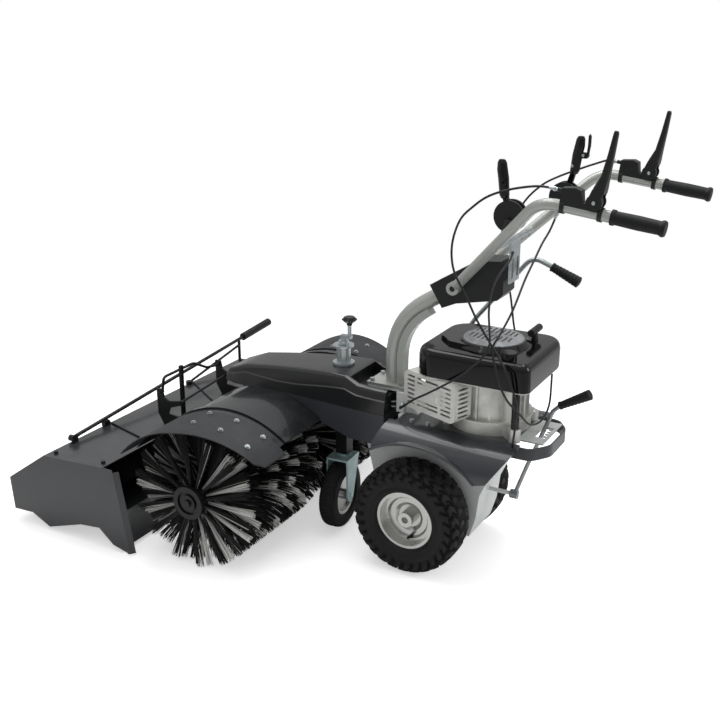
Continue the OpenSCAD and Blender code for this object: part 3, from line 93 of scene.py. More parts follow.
# %% Camera
CAMERA_PLACE = [1165.0, -2536.3, 1566.2]
CAMERA_TILT, CAMERA_TURN = math.radians(70.6), math.radians(29.2)
LENS, FILM = 51.83, 36.0
eye = bpy.data.cameras.new("studio_camera")
eye.lens, eye.sensor_width = LENS, FILM
eye.clip_start, eye.clip_end = 0.05, 60.0
studio_camera = bpy.data.objects.new("studio_camera", eye)
studio_camera.location = placed(CAMERA_PLACE)
studio_camera.rotation_euler = (CAMERA_TILT, 0.0, CAMERA_TURN)
bpy.context.scene.collection.objects.link(studio_camera)
bpy.context.scene.camera = studio_camera
print("camera at", [round(c, 3) for c in studio_camera.location])

# %% [markdown]
# ## Shader helpers
# A finish is a small graph of nodes. A few helpers keep the graphs readable: they add a node and feed
# its sockets, mix two colours, do a sum, carry a value from one range to another, and start a node
# group with named sockets.

# %% Helpers for node graphs
def ink(text):
    """A colour as painters write it (#rrggbb), turned into linear light for the shader."""
    c = np.array([int(text[i:i + 2], 16) for i in (1, 3, 5)]) / 255.0
    c = np.where(c <= 0.04045, c / 12.92, ((c + 0.055) / 1.055) ** 2.4)
    return (*c.tolist(), 1.0)


def shade(colour, factor):
    """The colour made darker or lighter by a factor, at most white."""
    return (*[min(1.0, c * factor) for c in colour[:3]], 1.0)


def put(tree, kind, feeds=None, **settings):
    """Adds a node. feeds gives inputs, by name or number, a value or another node's output."""
    made = tree.nodes.new(kind)
    for key, value in settings.items():
        setattr(made, key, value)
    for key, value in (feeds or {}).items():
        if isinstance(value, bpy.types.NodeSocket):
            tree.links.new(value, made.inputs[key])
        else:
            made.inputs[key].default_value = value
    return made


def mixed(tree, factor, first, second):
    """first where factor is 0, second where it is 1."""
    return put(tree, "ShaderNodeMix", {0: factor, 6: first, 7: second}, data_type="RGBA").outputs[2]


def maths(tree, operation, first, second):
    """One sum: first and second put together by the operation, held between 0 and 1."""
    done = put(tree, "ShaderNodeMath", {0: first, 1: second}, operation=operation, use_clamp=True)
    return done.outputs[0]


def ranged(tree, value, low, high, to_low=0.0, to_high=1.0):
    """value carried from low..high to to_low..to_high, and held there."""
    return put(tree, "ShaderNodeMapRange", {"Value": value, "From Min": low, "From Max": high,
                                            "To Min": to_low, "To Max": to_high}).outputs["Result"]


def group(name, inputs, outputs):
    """An empty node group with these float inputs and outputs."""
    tree = bpy.data.node_groups.new(name, "ShaderNodeTree")
    for label, value in inputs.items():
        socket = tree.interface.new_socket(label, in_out="INPUT", socket_type="NodeSocketFloat")
        socket.default_value = value
    for label in outputs:
        tree.interface.new_socket(label, in_out="OUTPUT", socket_type="NodeSocketFloat")
    return tree, tree.nodes.new("NodeGroupInput").outputs, tree.nodes.new("NodeGroupOutput").inputs


print("helpers ready")

# %% [markdown]
# ## Three effects that every finish shares
# Real paint and plastic are never one number. A fine grain breaks the gloss, slow clouds change
# the colour a little, worn edges shine through, and dust settles on what faces up. Each effect is
# one node group, so that a finish only states how much of it there is.

# %% Node groups: grain, worn edges, settled dust
grain, come, go = group("surface_grain", {"Fineness": 600.0, "Cloud": 6.0}, ["Speck", "Cloudiness"])
coords = put(grain, "ShaderNodeTexCoord").outputs["Object"]
speck = put(grain, "ShaderNodeTexNoise", {"Vector": coords, "Scale": come["Fineness"], "Detail": 3.0})
cloud = put(grain, "ShaderNodeTexNoise", {"Vector": coords, "Scale": come["Cloud"], "Detail": 4.0})
grain.links.new(speck.outputs["Fac"], go["Speck"])
grain.links.new(ranged(grain, cloud.outputs["Fac"], 0.3, 0.7), go["Cloudiness"])

wear, come, go = group("worn_edges", {"Radius": 0.002, "Amount": 0.5}, ["Mask"])
coords = put(wear, "ShaderNodeTexCoord").outputs["Object"]
round_over = put(wear, "ShaderNodeBevel", {"Radius": come["Radius"]}, samples=3)
flat = put(wear, "ShaderNodeNewGeometry").outputs["Normal"]
turned = put(wear, "ShaderNodeVectorMath", {0: round_over.outputs["Normal"], 1: flat},
             operation="DOT_PRODUCT")
edge = ranged(wear, turned.outputs["Value"], 0.97, 0.75)
chips = put(wear, "ShaderNodeTexNoise",
            {"Vector": coords, "Scale": 90.0, "Detail": 5.0, "Roughness": 0.7})
chipped = maths(wear, "MULTIPLY", edge, ranged(wear, chips.outputs["Fac"], 0.45, 0.7))
wear.links.new(maths(wear, "MULTIPLY", chipped, come["Amount"]), go["Mask"])

dust, come, go = group("settled_dust", {"Amount": 0.2}, ["Mask"])
coords = put(dust, "ShaderNodeTexCoord").outputs["Object"]
facing = put(dust, "ShaderNodeNewGeometry").outputs["Normal"]
facing_up = put(dust, "ShaderNodeSeparateXYZ", {"Vector": facing}).outputs["Z"]
drift = put(dust, "ShaderNodeTexNoise",
            {"Vector": coords, "Scale": 14.0, "Detail": 6.0, "Roughness": 0.65})
lying = maths(dust, "MULTIPLY", ranged(dust, facing_up, 0.35, 0.95),
              ranged(dust, drift.outputs["Fac"], 0.4, 0.75))
dust.links.new(maths(dust, "MULTIPLY", lying, come["Amount"]), go["Mask"])
print("groups:", [g.name for g in bpy.data.node_groups])

# %% [markdown]
# ## One recipe for most finishes
# Paint, plastic, cast alloy and plated steel differ in colour, gloss and grain, but the graph is
# the same: cloudy colour, then bare edges, then dust; the grain moves the roughness and the bump.
# What is the same all over (metal, coat, specular level) is set on the shader's own sockets.

# %% The recipe
DUST = ink("#8b8a86")
SMOOTHEST = 0.03


def finish(name, colour, rough, metal=0.0, coat=0.0, coat_rough=0.08, specular=0.5, clouds=0.12,
           fineness=900.0, cloud=7.0, bump=0.15, depth=0.0003, worn=0.0, bare="#b9bbbb", edge=0.0018,
           dusty=0.05, spread=0.07):
    """A material from the shared effects; returns it with its shader, for finishes that add to it."""
    made = bpy.data.materials.new(name)
    made.use_nodes = True
    tree = made.node_tree
    shader = tree.nodes["Principled BSDF"]
    base = ink(colour)
    made.diffuse_color = base
    texture = put(tree, "ShaderNodeGroup", node_tree=grain)
    texture.inputs["Fineness"].default_value = fineness
    texture.inputs["Cloud"].default_value = cloud
    tint = mixed(tree, texture.outputs["Cloudiness"], shade(base, 1 - clouds), shade(base, 1 + clouds))
    if worn:
        rubbed = put(tree, "ShaderNodeGroup", node_tree=wear)
        rubbed.inputs["Radius"].default_value = edge
        rubbed.inputs["Amount"].default_value = worn
        tint = mixed(tree, rubbed.outputs["Mask"], tint, ink(bare))
    settled = put(tree, "ShaderNodeGroup", node_tree=dust)
    settled.inputs["Amount"].default_value = dusty
    tint = mixed(tree, settled.outputs["Mask"], tint, DUST)
    gloss = ranged(tree, texture.outputs["Speck"], 0.3, 0.7,
                   max(SMOOTHEST, rough - spread), min(1.0, rough + spread))
    tree.links.new(tint, shader.inputs["Base Color"])
    tree.links.new(gloss, shader.inputs["Roughness"])
    ripple = put(tree, "ShaderNodeBump",
                 {"Strength": bump, "Distance": depth, "Height": texture.outputs["Speck"]})
    tree.links.new(ripple.outputs["Normal"], shader.inputs["Normal"])
    for socket, value in (("Metallic", metal), ("Coat Weight", coat), ("Coat Roughness", coat_rough),
                          ("Specular IOR Level", specular)):
        shader.inputs[socket].default_value = value
    return made, shader


def wearing(material, *names):
    """Gives these solids the finish."""
    for name in names:
        solids[name].data.materials.clear()
        solids[name].data.materials.append(material)


print("recipe ready")

# %% [markdown]
# ## Painted sheet metal
# The hood, the brush guards and the collector are sprayed: dark anthracite under a clear, smooth
# coat on the hood and guards, a flatter charcoal on the collector. Frame plates, column and
# handlebar are light grey. A clear coat is a second gloss layer, which the shader has built in.

# %% Paints
hood_paint, _ = finish("hood_paint", "#26292f", 0.36, coat=0.7, coat_rough=0.1, specular=0.4,
                       clouds=0.08, worn=0.2, bare="#7d8084")
guard_paint, _ = finish("guard_paint", "#15181b", 0.26, coat=0.5, coat_rough=0.06, specular=0.3,
                        clouds=0.08, worn=0.2, bare="#6d7073")
bumper_paint, _ = finish("bumper_paint", "#33353a", 0.42, coat=0.2, coat_rough=0.25, specular=0.4,
                         worn=0.2, bare="#77797c")
bin_paint, _ = finish("collector_paint", "#292b2e", 0.4, coat=0.6, coat_rough=0.16, specular=0.4,
                      clouds=0.06, worn=0.3, bare="#6b6d6e", dusty=0.06)
frame_paint, _ = finish("frame_paint", "#c3c7c5", 0.42, coat=0.2, coat_rough=0.2, clouds=0.05,
                        worn=0.2, bare="#6d6d6a")
silver_paint, _ = finish("silver_paint", "#a9aca7", 0.36, metal=0.4, coat=0.3, coat_rough=0.2,
                         clouds=0.05, fineness=2200.0, dusty=0.02)
rod_paint, _ = finish("rod_paint", "#0f1012", 0.4, specular=0.35, worn=0.25, bare="#5d5f61", dusty=0.04)
wearing(hood_paint, "hood")
wearing(guard_paint, "brush_guards")
wearing(bumper_paint, "rear_bumper", "belt_housing")
wearing(bin_paint, "collector_bin")
wearing(frame_paint, "chassis_frame")
wearing(silver_paint, "column_tube", "left_arm", "right_arm")
wearing(rod_paint, "collector_brackets", "collector_lever", "latch_handle", "castor_leg", "brush_shaft")
print("paints:", hood_paint.name, guard_paint.name, bin_paint.name)

# %% [markdown]
# ## Bare and plated metal
# The engine is cast aluminium with a dull, pitted skin. Levers, bolts and the crank tube are zinc
# plated, which is bright with a bluish cloudiness. The muffler guard is stamped sheet that heat
# has turned slightly cream. Rims are rolled steel in bright silver.

# %% Metals
cast_alloy, _ = finish("cast_alloy", "#c8c8c4", 0.42, metal=0.7, clouds=0.25, cloud=18.0,
                       fineness=420.0, bump=0.4, depth=0.0006, dusty=0.1)
zinc_plate, _ = finish("zinc_plate", "#b7bec0", 0.32, metal=0.9, clouds=0.14, cloud=40.0, worn=0.2,
                       bare="#d8dcdd")
fork_zinc, _ = finish("fork_zinc", "#b4d0d0", 0.34, metal=0.4, clouds=0.12, cloud=30.0)
guard_sheet, _ = finish("muffler_sheet", "#e2e2de", 0.34, metal=0.35, clouds=0.14, cloud=22.0,
                        dusty=0.03)
plain_steel, _ = finish("plain_steel", "#8a8d90", 0.36, metal=0.9, clouds=0.15, cloud=25.0)
rim_silver, _ = finish("rim_silver", "#bcbcb9", 0.22, metal=0.85, coat=0.2, coat_rough=0.15,
                       clouds=0.06, dusty=0.04)
wearing(cast_alloy, "engine_block", "gearbox", "brush_gearbox")
wearing(zinc_plate, "frame_bolts", "guard_bolts", "spindle_tube", "height_crank", "lock_bracket",
        "angle_lever")
wearing(fork_zinc, "castor_fork")
wearing(guard_sheet, "muffler_guard")
wearing(plain_steel, "gearbox_pulley", "crankshaft", "swivel_shaft", "brush_input", "gear_lever")
wearing(rim_silver, "left_rim", "right_rim", "castor_rim")
print("metals:", cast_alloy.name, zinc_plate.name, guard_sheet.name)

# %% [markdown]
# ## Plastic and rubber
# The handlebar's housings are moulded with a fine leathery grain, so a finer speck with more bump
# serves; the belt cover is smoother, under a thin gloss. The engine shroud and fuel cap are polished
# black. Rubber is dull and greys a little where dust stays. The engine's cap is black with a grey grille
# in its middle: the colour changes with the distance from the middle.

# %% Plastics and rubbers
GRILLE_MIDDLE, GRILLE_INNER, GRILLE_OUTER = [168, 0, 690], 0.082, 0.085
grained_plastic, _ = finish("grained_plastic", "#17181a", 0.4, specular=0.35, fineness=1500.0, bump=0.3,
                            depth=0.0003, worn=0.1, bare="#3f4043", dusty=0.04)
gloss_black, _ = finish("gloss_black", "#060708", 0.12, coat=0.3, coat_rough=0.04, specular=0.2,
                        bump=0.03, dusty=0.02, spread=0.03)
cap_grey, cap_shader = finish("cap_grey", "#0a0b0c", 0.14, coat=0.3, coat_rough=0.05, specular=0.25,
                              bump=0.05)
tree = cap_grey.node_tree
coords = put(tree, "ShaderNodeTexCoord").outputs["Object"]
from_middle = put(tree, "ShaderNodeVectorMath", {0: coords, 1: (*placed(GRILLE_MIDDLE),)},
                  operation="DISTANCE").outputs["Value"]
black_rim = cap_shader.inputs["Base Color"].links[0].from_socket
beyond_grille = ranged(tree, from_middle, GRILLE_INNER, GRILLE_OUTER)
tree.links.new(mixed(tree, beyond_grille, ink("#a2a5a8"), black_rim), cap_shader.inputs["Base Color"])
flap_rubber, _ = finish("flap_rubber", "#2c2d2f", 0.55, specular=0.3, clouds=0.12, cloud=9.0, bump=0.25,
                        dusty=0.06)
grip_rubber, _ = finish("grip_rubber", "#121314", 0.55, specular=0.3, fineness=1100.0, bump=0.4,
                        dusty=0.05)
belt_rubber, _ = finish("belt_rubber", "#121213", 0.75, specular=0.25, dusty=0.05)
cover_plastic, _ = finish("cover_plastic", "#151618", 0.3, coat=0.4, coat_rough=0.18, specular=0.4,
                          fineness=1500.0, bump=0.15, worn=0.1, bare="#3f4043", dusty=0.03)
wearing(cover_plastic, "housing_cover")
wearing(grained_plastic, "joint_cover", "control_housings", "left_clutch_lever", "right_clutch_lever",
        "control_trigger", "starter_handle")
wearing(gloss_black, "engine_shroud", "fuel_cap", "crank_knob", "left_control_lever", "right_control_lever")
wearing(cap_grey, "shroud_cap")
wearing(flap_rubber, "guard_flaps")
wearing(grip_rubber, "handle_grips", "collector_grip")
wearing(belt_rubber, "drive_belts", "head_belt")
print("plastics:", grained_plastic.name, gloss_black.name, grip_rubber.name)

# %% [markdown]
# ## Soft edges
# Pressed sheet and moulded plastic bend in smooth curves, where the solids have rows of flat facets. How
# light falls on a facet is decided by the normals at its corners, so these are averaged over the facets
# that meet there at a slight angle. The shape stays as it is, and true edges stay sharp.

# %% Averaged normals
SOFT_LIMIT = 34.0


def softened(limit, *names):
    """Each corner gets the sum of the normals of the facets that meet at its place, each as long as its
    facet is large, without those that lean away from its own facet by more than the limit in degrees."""
    for name in names:
        shape = solids[name].data
        shape.polygons.foreach_set("use_smooth", np.ones(len(shape.polygons), bool))
        at = np.empty(len(shape.vertices) * 3, np.float32)
        shape.vertices.foreach_get("co", at)
        normals = np.empty(len(shape.polygons) * 3, np.float32)
        shape.polygons.foreach_get("normal", normals)
        normals = normals.reshape(-1, 3)
        areas = np.empty(len(shape.polygons), np.float32)
        shape.polygons.foreach_get("area", areas)
        corners = np.empty(len(shape.loops), np.int32)
        shape.loops.foreach_get("vertex_index", corners)
        sizes = np.empty(len(shape.polygons), np.int32)
        shape.polygons.foreach_get("loop_total", sizes)
        facet = np.repeat(np.arange(len(sizes)), sizes)
        _, place = np.unique(at.reshape(-1, 3).round(5), axis=0, return_inverse=True)
        place = place.ravel()[corners]
        order = np.argsort(place, kind="stable")
        count = np.bincount(place)
        begin = np.cumsum(count) - count
        meeting = count[place]
        each = np.repeat(np.arange(len(place)), meeting)
        step = np.arange(len(each)) - np.repeat(np.cumsum(meeting) - meeting, meeting)
        other = order[begin[place[each]] + step]
        near = (normals[facet[each]] * normals[facet[other]]).sum(-1) > math.cos(math.radians(limit))
        total = np.zeros((len(place), 3))
        np.add.at(total, each[near], (normals * areas[:, None])[facet[other[near]]])
        total /= np.maximum(np.linalg.norm(total, axis=1, keepdims=True), 1e-12)
        shape.normals_split_custom_set(total.tolist())
    print("softened", len(names), "solids at", limit, "degrees")


softened(SOFT_LIMIT, "hood", "housing_cover", "belt_housing", "engine_shroud", "shroud_cap", "joint_cover",
         "rear_bumper", "brush_guards", "guard_flaps", "left_clutch_lever", "right_clutch_lever",
         "control_housings", "muffler_guard")

# %% [markdown]
# ## Surfaces from arrays
# A new piece is a grid of points, as a map from two numbers to a place. The helper below turns a
# whole array of such points into one mesh of quads, joining the ends where the grid closes.

# %% Grid to mesh
def grid_quads(rows, columns, close_rows, close_columns):
    """Corner numbers of the quads of a rows by columns grid, going round where a way is closed."""
    starts = np.arange(rows - (not close_rows)), np.arange(columns - (not close_columns))
    a, b = (c.ravel() for c in np.meshgrid(*starts, indexing="ij"))
    a1, b1 = (a + 1) % rows, (b + 1) % columns
    return np.stack([a * columns + b, a1 * columns + b, a1 * columns + b1, a * columns + b1], -1)


def mesh_of(name, points, quads, material, body, smooth=True):
    """A mesh object from points (n, 3) and quads (m, 4), in its finish, riding on a body."""
    made = bpy.data.meshes.new(name)
    points, quads = np.asarray(points, np.float32), np.asarray(quads, np.int32)
    made.vertices.add(len(points))
    made.vertices.foreach_set("co", points.ravel())
    made.loops.add(quads.size)
    made.loops.foreach_set("vertex_index", quads.ravel())
    made.polygons.add(len(quads))
    made.polygons.foreach_set("loop_start", np.arange(len(quads), dtype=np.int32) * 4)
    made.polygons.foreach_set("use_smooth", np.full(len(quads), smooth))
    made.materials.append(material)
    made.update(calc_edges=True)
    thing = bpy.data.objects.new(name, made)
    bpy.context.scene.collection.objects.link(thing)
    if body:
        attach(thing, body)
    print(name, len(quads), "quads")
    return thing


def crossways(a, b):
    """Unit vectors square to a and b."""
    c = np.cross(a, b)
    return c / np.linalg.norm(c, axis=-1, keepdims=True)


print("a 3 by 4 grid closed one way has", len(grid_quads(3, 4, False, True)), "quads")

# %% [markdown]
# ## Brush
# Each tuft of the real brush is a bundle of stiff bristles that fans out from one hole in the core.
# Pale and black bundles take turns, and the rows run in spirals. A hair system would make the
# strands, but it can't be kept as a plain mesh, so the strands are one array: every bundle's root
# and direction, times every strand's place in the bundle, times a few rings along the strand.

# %% Brush bundles
BRUSH_AXIS, BRUSH_ROOT, BRUSH_TIP = np.array([-545.0, 0.0, 209.0]), 47.0, 208.0
ROUND, ROWS, STRANDS, RINGS = 28, 13, 27, 4
BRUSH_NEAR_Y, BRUSH_FAR_Y, SPIRAL = 62.0, 464.0, 11.0
ROOT_SPREAD, PALE_FAN, BLACK_FAN = 3.5, 7.0, 10.5
BUNDLE_SWING, STRAND_SWING, BUNDLE_DRIFT = 5.0, 3.0, 2.0
SHORTER_BY, BLACKENED, PALE_SHARE, STRAY_SHARE = 9.0, 0.45, 0.94, 0.04
PALE_TONE, BLACK_TONE, PALE_VARIES, BLACK_VARIES = 0.85, 0.03, 0.2, 0.05


def bundle_frames():
    """Angle and distance along the axle of each bundle, and its number round the core: ROUND by ROWS,
    whose rows turn on evenly by the spiral's cells; every other bundle stands half a row on."""
    i, j = np.meshgrid(np.arange(ROUND), np.arange(ROWS) * 2 + 1.5, indexing="ij")
    j = j + (i % 2)
    share = j / (2 * ROWS + 1)
    angle = 2 * np.pi * (i + 1.5 + SPIRAL * share) / ROUND
    along = BRUSH_NEAR_Y + (BRUSH_FAR_Y - BRUSH_NEAR_Y) * share
    return angle.ravel(), along.ravel(), i.ravel()


def bundle_strands(side, seed):
    """Strand centre lines (bundle, strand, ring, 3) and a shade per strand. A strand leaves the core within
    ROOT_SPREAD of its bundle's middle, fans out from there, more in black bundles than in pale ones, and
    swings to a side as the square of the way along. Not quite half of the pale bundles are black too, by
    chance, and a few strands of every bundle have the other colour."""
    rng = np.random.default_rng(seed)
    angle, along, i = bundle_frames()
    n = len(angle)
    t = np.linspace(0.0, 1.0, RINGS)[None, None, :]
    spin = rng.uniform(0, 2 * np.pi, (n, STRANDS, 1))
    off = np.sqrt(rng.uniform(0, 1, (n, STRANDS, 1)))
    pale = ((i % 2 == 0) & (rng.uniform(0, 1, n) > BLACKENED))[:, None]
    fan = off * (ROOT_SPREAD + np.where(pale, PALE_FAN, BLACK_FAN)[:, :, None] * t ** 1.2)
    swing = rng.normal(0.0, BUNDLE_SWING, (n, 1, 1)) * t ** 2
    swing = swing + rng.normal(0.0, STRAND_SWING, (n, STRANDS, 1)) * t ** 2
    length = BRUSH_TIP - BRUSH_ROOT - SHORTER_BY * rng.uniform(0, 1, (n, STRANDS, 1)) ** 2
    reach = BRUSH_ROOT + length * t
    sideways = fan * np.cos(spin) + swing
    lengthways = fan * np.sin(spin) * 0.8 + rng.normal(0, BUNDLE_DRIFT, (n, 1, 1)) * t
    a = angle[:, None, None]
    reach = np.sqrt(np.maximum(reach ** 2 - sideways ** 2, 1.0))
    x = reach * np.cos(a) - sideways * np.sin(a)
    z = reach * np.sin(a) + sideways * np.cos(a)
    y = side * (along[:, None, None] + lengthways)
    light = rng.uniform(0, 1, (n, STRANDS)) < np.where(pale, PALE_SHARE, STRAY_SHARE)
    varies = np.where(light, PALE_VARIES, BLACK_VARIES) * rng.normal(0, 1, (n, STRANDS))
    tone = np.where(light, PALE_TONE, BLACK_TONE) + varies
    return np.stack([x, y, z], -1) + BRUSH_AXIS, np.clip(tone, 0.0, 1.0)


print(ROUND * ROWS, "bundles a side of", STRANDS, "strands")

# %% Brush material and meshes
STRAND_RADII, ROOT_PAINTED_SHADE, STRAND_SIDES = [1.3, 1.3, 1.2, 0.9], 0.45, 3
bristle, bristle_shader = finish("bristle", "#161616", 0.55, specular=0.35, dusty=0.0, bump=0.1)
tree = bristle.node_tree
# The strands' tone attribute holds each strand's own colour, made darker towards the root by painted shade.
tone = put(tree, "ShaderNodeAttribute", attribute_name="strand_tone_and_painted_shade").outputs["Fac"]
black_strand = bristle_shader.inputs["Base Color"].links[0].from_socket
strand_colour = mixed(tree, ranged(tree, tone, 0.12, 0.9), black_strand, ink("#f0f0ec"))
tree.links.new(strand_colour, bristle_shader.inputs["Base Color"])

for side, body_node, seed in ((NEAR, "left_bristles", 11), (FAR, "right_bristles", 12)):
    lines, tones = bundle_strands(side, seed)
    lines, tones = lines.reshape(-1, RINGS, 3), tones.ravel()
    ahead = np.gradient(lines, axis=1)
    first = crossways(ahead, np.array([0.0, 1.0, 0.0]))
    second = crossways(ahead, first)
    thick = np.array(STRAND_RADII)[None, :, None, None]
    turn = (np.arange(STRAND_SIDES) * 2 * np.pi / STRAND_SIDES)[None, None, :, None]
    around = first[:, :, None] * np.cos(turn) + second[:, :, None] * np.sin(turn)
    skin = lines[:, :, None] + thick * around
    one = grid_quads(RINGS, STRAND_SIDES, False, True)
    strand_start = np.arange(len(lines)) * RINGS * STRAND_SIDES
    quads = (one[None] + strand_start[:, None, None]).reshape(-1, 4)
    brush_half = mesh_of(body_node + "_bundles", placed(skin.reshape(-1, 3)), quads, bristle, "brush")
    held = brush_half.data.attributes.new("strand_tone_and_painted_shade", "FLOAT", "POINT")
    # Painted shade: each strand's tone falls from its tip to less than half at the root, deep in the brush
    # where the bundles crowd round the core.
    ring_tones_with_painted_shade = np.repeat(tones[:, None] * np.linspace(ROOT_PAINTED_SHADE, 1.0, RINGS), STRAND_SIDES)
    held.data.foreach_set("value", ring_tones_with_painted_shade.astype(np.float32))
    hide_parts(body_node)

# %% [markdown]
# ## Drive tyres
# The tyres are the small, knobbly kind: rows of blocks across the tread, the outer ones reaching
# down over the shoulder. A tyre is a closed section carried round the axle; the gaps between the blocks
# are sunk into that section, worked out from the two numbers of the grid, so no block is modelled. The
# castor's tyre is the same surface with other numbers, turned to the side that the castor trails to.

# %% Tyre surface
DRIVE_TYRE = dict(radius=165.0, bore=81.0, half_width=62.0, rows=616, columns=140, depth=12.0, blocks=28,
                  lanes=4, shoulder=68.0)
CASTOR_TYRE = dict(radius=105.0, bore=60.5, half_width=27.0, rows=480, columns=90, depth=2.6, blocks=60,
                   lanes=4, shoulder=27.0)
WHEEL_OUT, WHEEL_HIGH = 152.0, 165.0
CASTOR_MIDDLE, CASTOR_TURN = np.array([-305.9, -29.93, 105.0]), math.radians(-86.0)
ROUNDNESS = 0.6


def smooth_step(x, low, high):
    """0 below low, 1 above high, and an even ease between."""
    t = np.clip((x - low) / (high - low), 0.0, 1.0)
    return t * t * (3 - 2 * t)


def tyre_grid(radius, bore, half_width, rows, columns, depth, blocks, lanes, shoulder):
    """Points (rows round, columns across, 3) of a tyre whose axle is Y. The section is a rounded
    rectangle, |cos| by |sin| to the power ROUNDNESS; where it faces out, a pattern of blocks decides
    how far it is sunk: lanes side by side, every other one moved on by half a block."""
    turn = np.linspace(0, 2 * np.pi, rows, endpoint=False)[:, None]
    s = np.linspace(0, 2 * np.pi, columns, endpoint=False)[None, :]
    middle, half_high = (radius + bore) / 2, (radius - bore) / 2
    out = np.sign(np.cos(s)) * np.abs(np.cos(s)) ** ROUNDNESS
    across = np.sign(np.sin(s)) * np.abs(np.sin(s)) ** ROUNDNESS
    r, y = middle + half_high * out, half_width * across
    way = np.cumsum(np.hypot(np.diff(r, prepend=r[:, -1:]), np.diff(y, prepend=y[:, -1:])), axis=1)
    way = np.where(s > np.pi, way - way[:, -1:], way)
    lane = way / shoulder * lanes / 2 + 0.5
    number = np.floor(lane)
    beat = turn / (2 * np.pi) * blocks + 0.5 * (number % 2) + 0.13 * np.sin(3 * np.pi * (lane - number))
    gap_a, gap_b = np.abs(beat - np.round(beat)), np.abs(lane - number - 0.5)
    block = smooth_step(gap_a, 0.17, 0.22) * (1 - smooth_step(gap_b, 0.38, 0.44))
    tread = 1 - smooth_step(np.abs(way), shoulder * 1.02, shoulder * 1.1)
    ring = 0.8 * np.exp(-((np.abs(way) - shoulder * 1.32) / 2.2) ** 2)
    sink = tread * (1 - block) * depth + (1 - tread) * depth * 0.55 * (out > -0.6) - ring * (1 - tread)
    sink = np.clip(sink, -1, None)
    r = middle + half_high * out * (1 - sink / half_high)
    y = half_width * across * (1 - sink / half_width)
    r, y = np.broadcast_to(r, (rows, columns)), np.broadcast_to(y, (rows, columns))
    return np.stack([r * np.cos(turn), y, r * np.sin(turn)], -1)


def tyre_mesh(name, points, sizes, body, node):
    """The tyre's grid as a piece on its body, in place of a solid."""
    quads = grid_quads(sizes["rows"], sizes["columns"], True, True)[:, ::-1]
    knobs = mesh_of(name, placed(points.reshape(-1, 3)), quads, tyre_rubber, body)
    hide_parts(node)


tyre_rubber, _ = finish("tyre_rubber", "#141414", 0.66, specular=0.3, clouds=0.2, cloud=25.0,
                        fineness=700.0, bump=0.35, dusty=0.05, worn=0.3, bare="#4a4a47", edge=0.002)
drive_points = tyre_grid(**DRIVE_TYRE)
for side, name in ((NEAR, "left"), (FAR, "right")):
    hub = np.array([0.0, side * WHEEL_OUT, WHEEL_HIGH])
    tyre_mesh(name + "_tyre_knobs", drive_points + hub, DRIVE_TYRE, name + "_wheel", name + "_tyre")
cos_turn, sin_turn = math.cos(CASTOR_TURN), math.sin(CASTOR_TURN)
spun = np.array([[cos_turn, sin_turn, 0], [-sin_turn, cos_turn, 0], [0, 0, 1]])
tyre_mesh("castor_tyre_knobs", tyre_grid(**CASTOR_TYRE) @ spun + CASTOR_MIDDLE, CASTOR_TYRE, "castor_wheel",
          "castor_tyre")

# %% [markdown]
# ## Control cables
# Four sleeved cables run from the levers down to the engine and frame. They are held at both ends,
# and the handlebar tilts, but each is one tube through its route's points, from the drive unit up to
# the handlebar; it rides on no body, so it stays as it is when the handlebar tilts.

# %% Cable routes
CABLE_ROUTES = {
    "left_clutch_cable": [
        [402.9, -240, 1145], [378, -240, 1148], [341, -235, 1146], [278, -222, 1131], [222, -212, 1109],
        [180, -204, 1079], [142, -198, 1039], [120, -192, 973], [127, -192, 908], [161, -190, 847],
        [193, -187, 785], [235, -183, 721], [261, -180, 681], [285, -174, 626], [300, -154, 560],
        [294, -141, 490], [288, -138, 434.3]],
    "right_clutch_cable": [
        [402.9, 240, 1145], [378, 240, 1147], [348, 237, 1137], [310, 232, 1122], [252, 222, 1097],
        [206, 212, 1070], [162, 204, 1023], [132, 198, 958], [119, 193, 890], [119, 195, 840],
        [124, 195, 792], [135, 195, 755], [144, 194, 708], [153, 191, 661], [172, 183, 600],
        [196, 168, 530], [214, 150, 470], [218, 147, 432.4]],
    "throttle_cable": [
        [280, 145, 1018], [268, 122, 968], [260, 86, 936], [257, 36, 898], [259, -30, 862],
        [260, -110, 801], [252, -168, 753], [243, -196, 722], [248, -198, 688], [267, -194, 622],
        [281, -182, 583], [299, -170, 556], [312, -148, 530], [316, -104, 494], [317, -50, 472],
        [318, 0, 466], [321, 28, 478], [324, 42, 506], [324, 46, 545], [324, 46, 587.7]],
    "brush_cable": [
        [221.5, -26, 932], [222, -50, 914], [212, -78, 890], [204, -104, 864], [206, -130, 838],
        [214, -160, 803], [228, -186, 765], [238, -206, 735], [230, -216, 706], [198, -219, 668],
        [146, -214, 622], [63, -190, 562], [10, -162, 525], [-28, -142, 494], [-58, -116, 468],
        [-72, -86, 461], [-75, -63.3, 460]],
}
print({name: len(points) for name, points in CABLE_ROUTES.items()})

# %% Cable tubes
def flowing(points, steps=6):
    """A smooth line through the points: each span is the cubic that leaves a point along the line
    between its neighbours (Catmull-Rom)."""
    p = np.asarray(points, float)
    p = np.vstack([2 * p[0] - p[1], p, 2 * p[-1] - p[-2]])
    t = np.linspace(0, 1, steps, endpoint=False)[None, :, None]
    a, b, c, d = (p[i:len(p) - 3 + i, None] for i in range(4))
    square, cube = 2 * a - 5 * b + 4 * c - d, 3 * b - a - 3 * c + d
    spans = 0.5 * (2 * b + (c - a) * t + square * t ** 2 + cube * t ** 3)
    return np.vstack([spans.reshape(-1, 3), p[-2]])


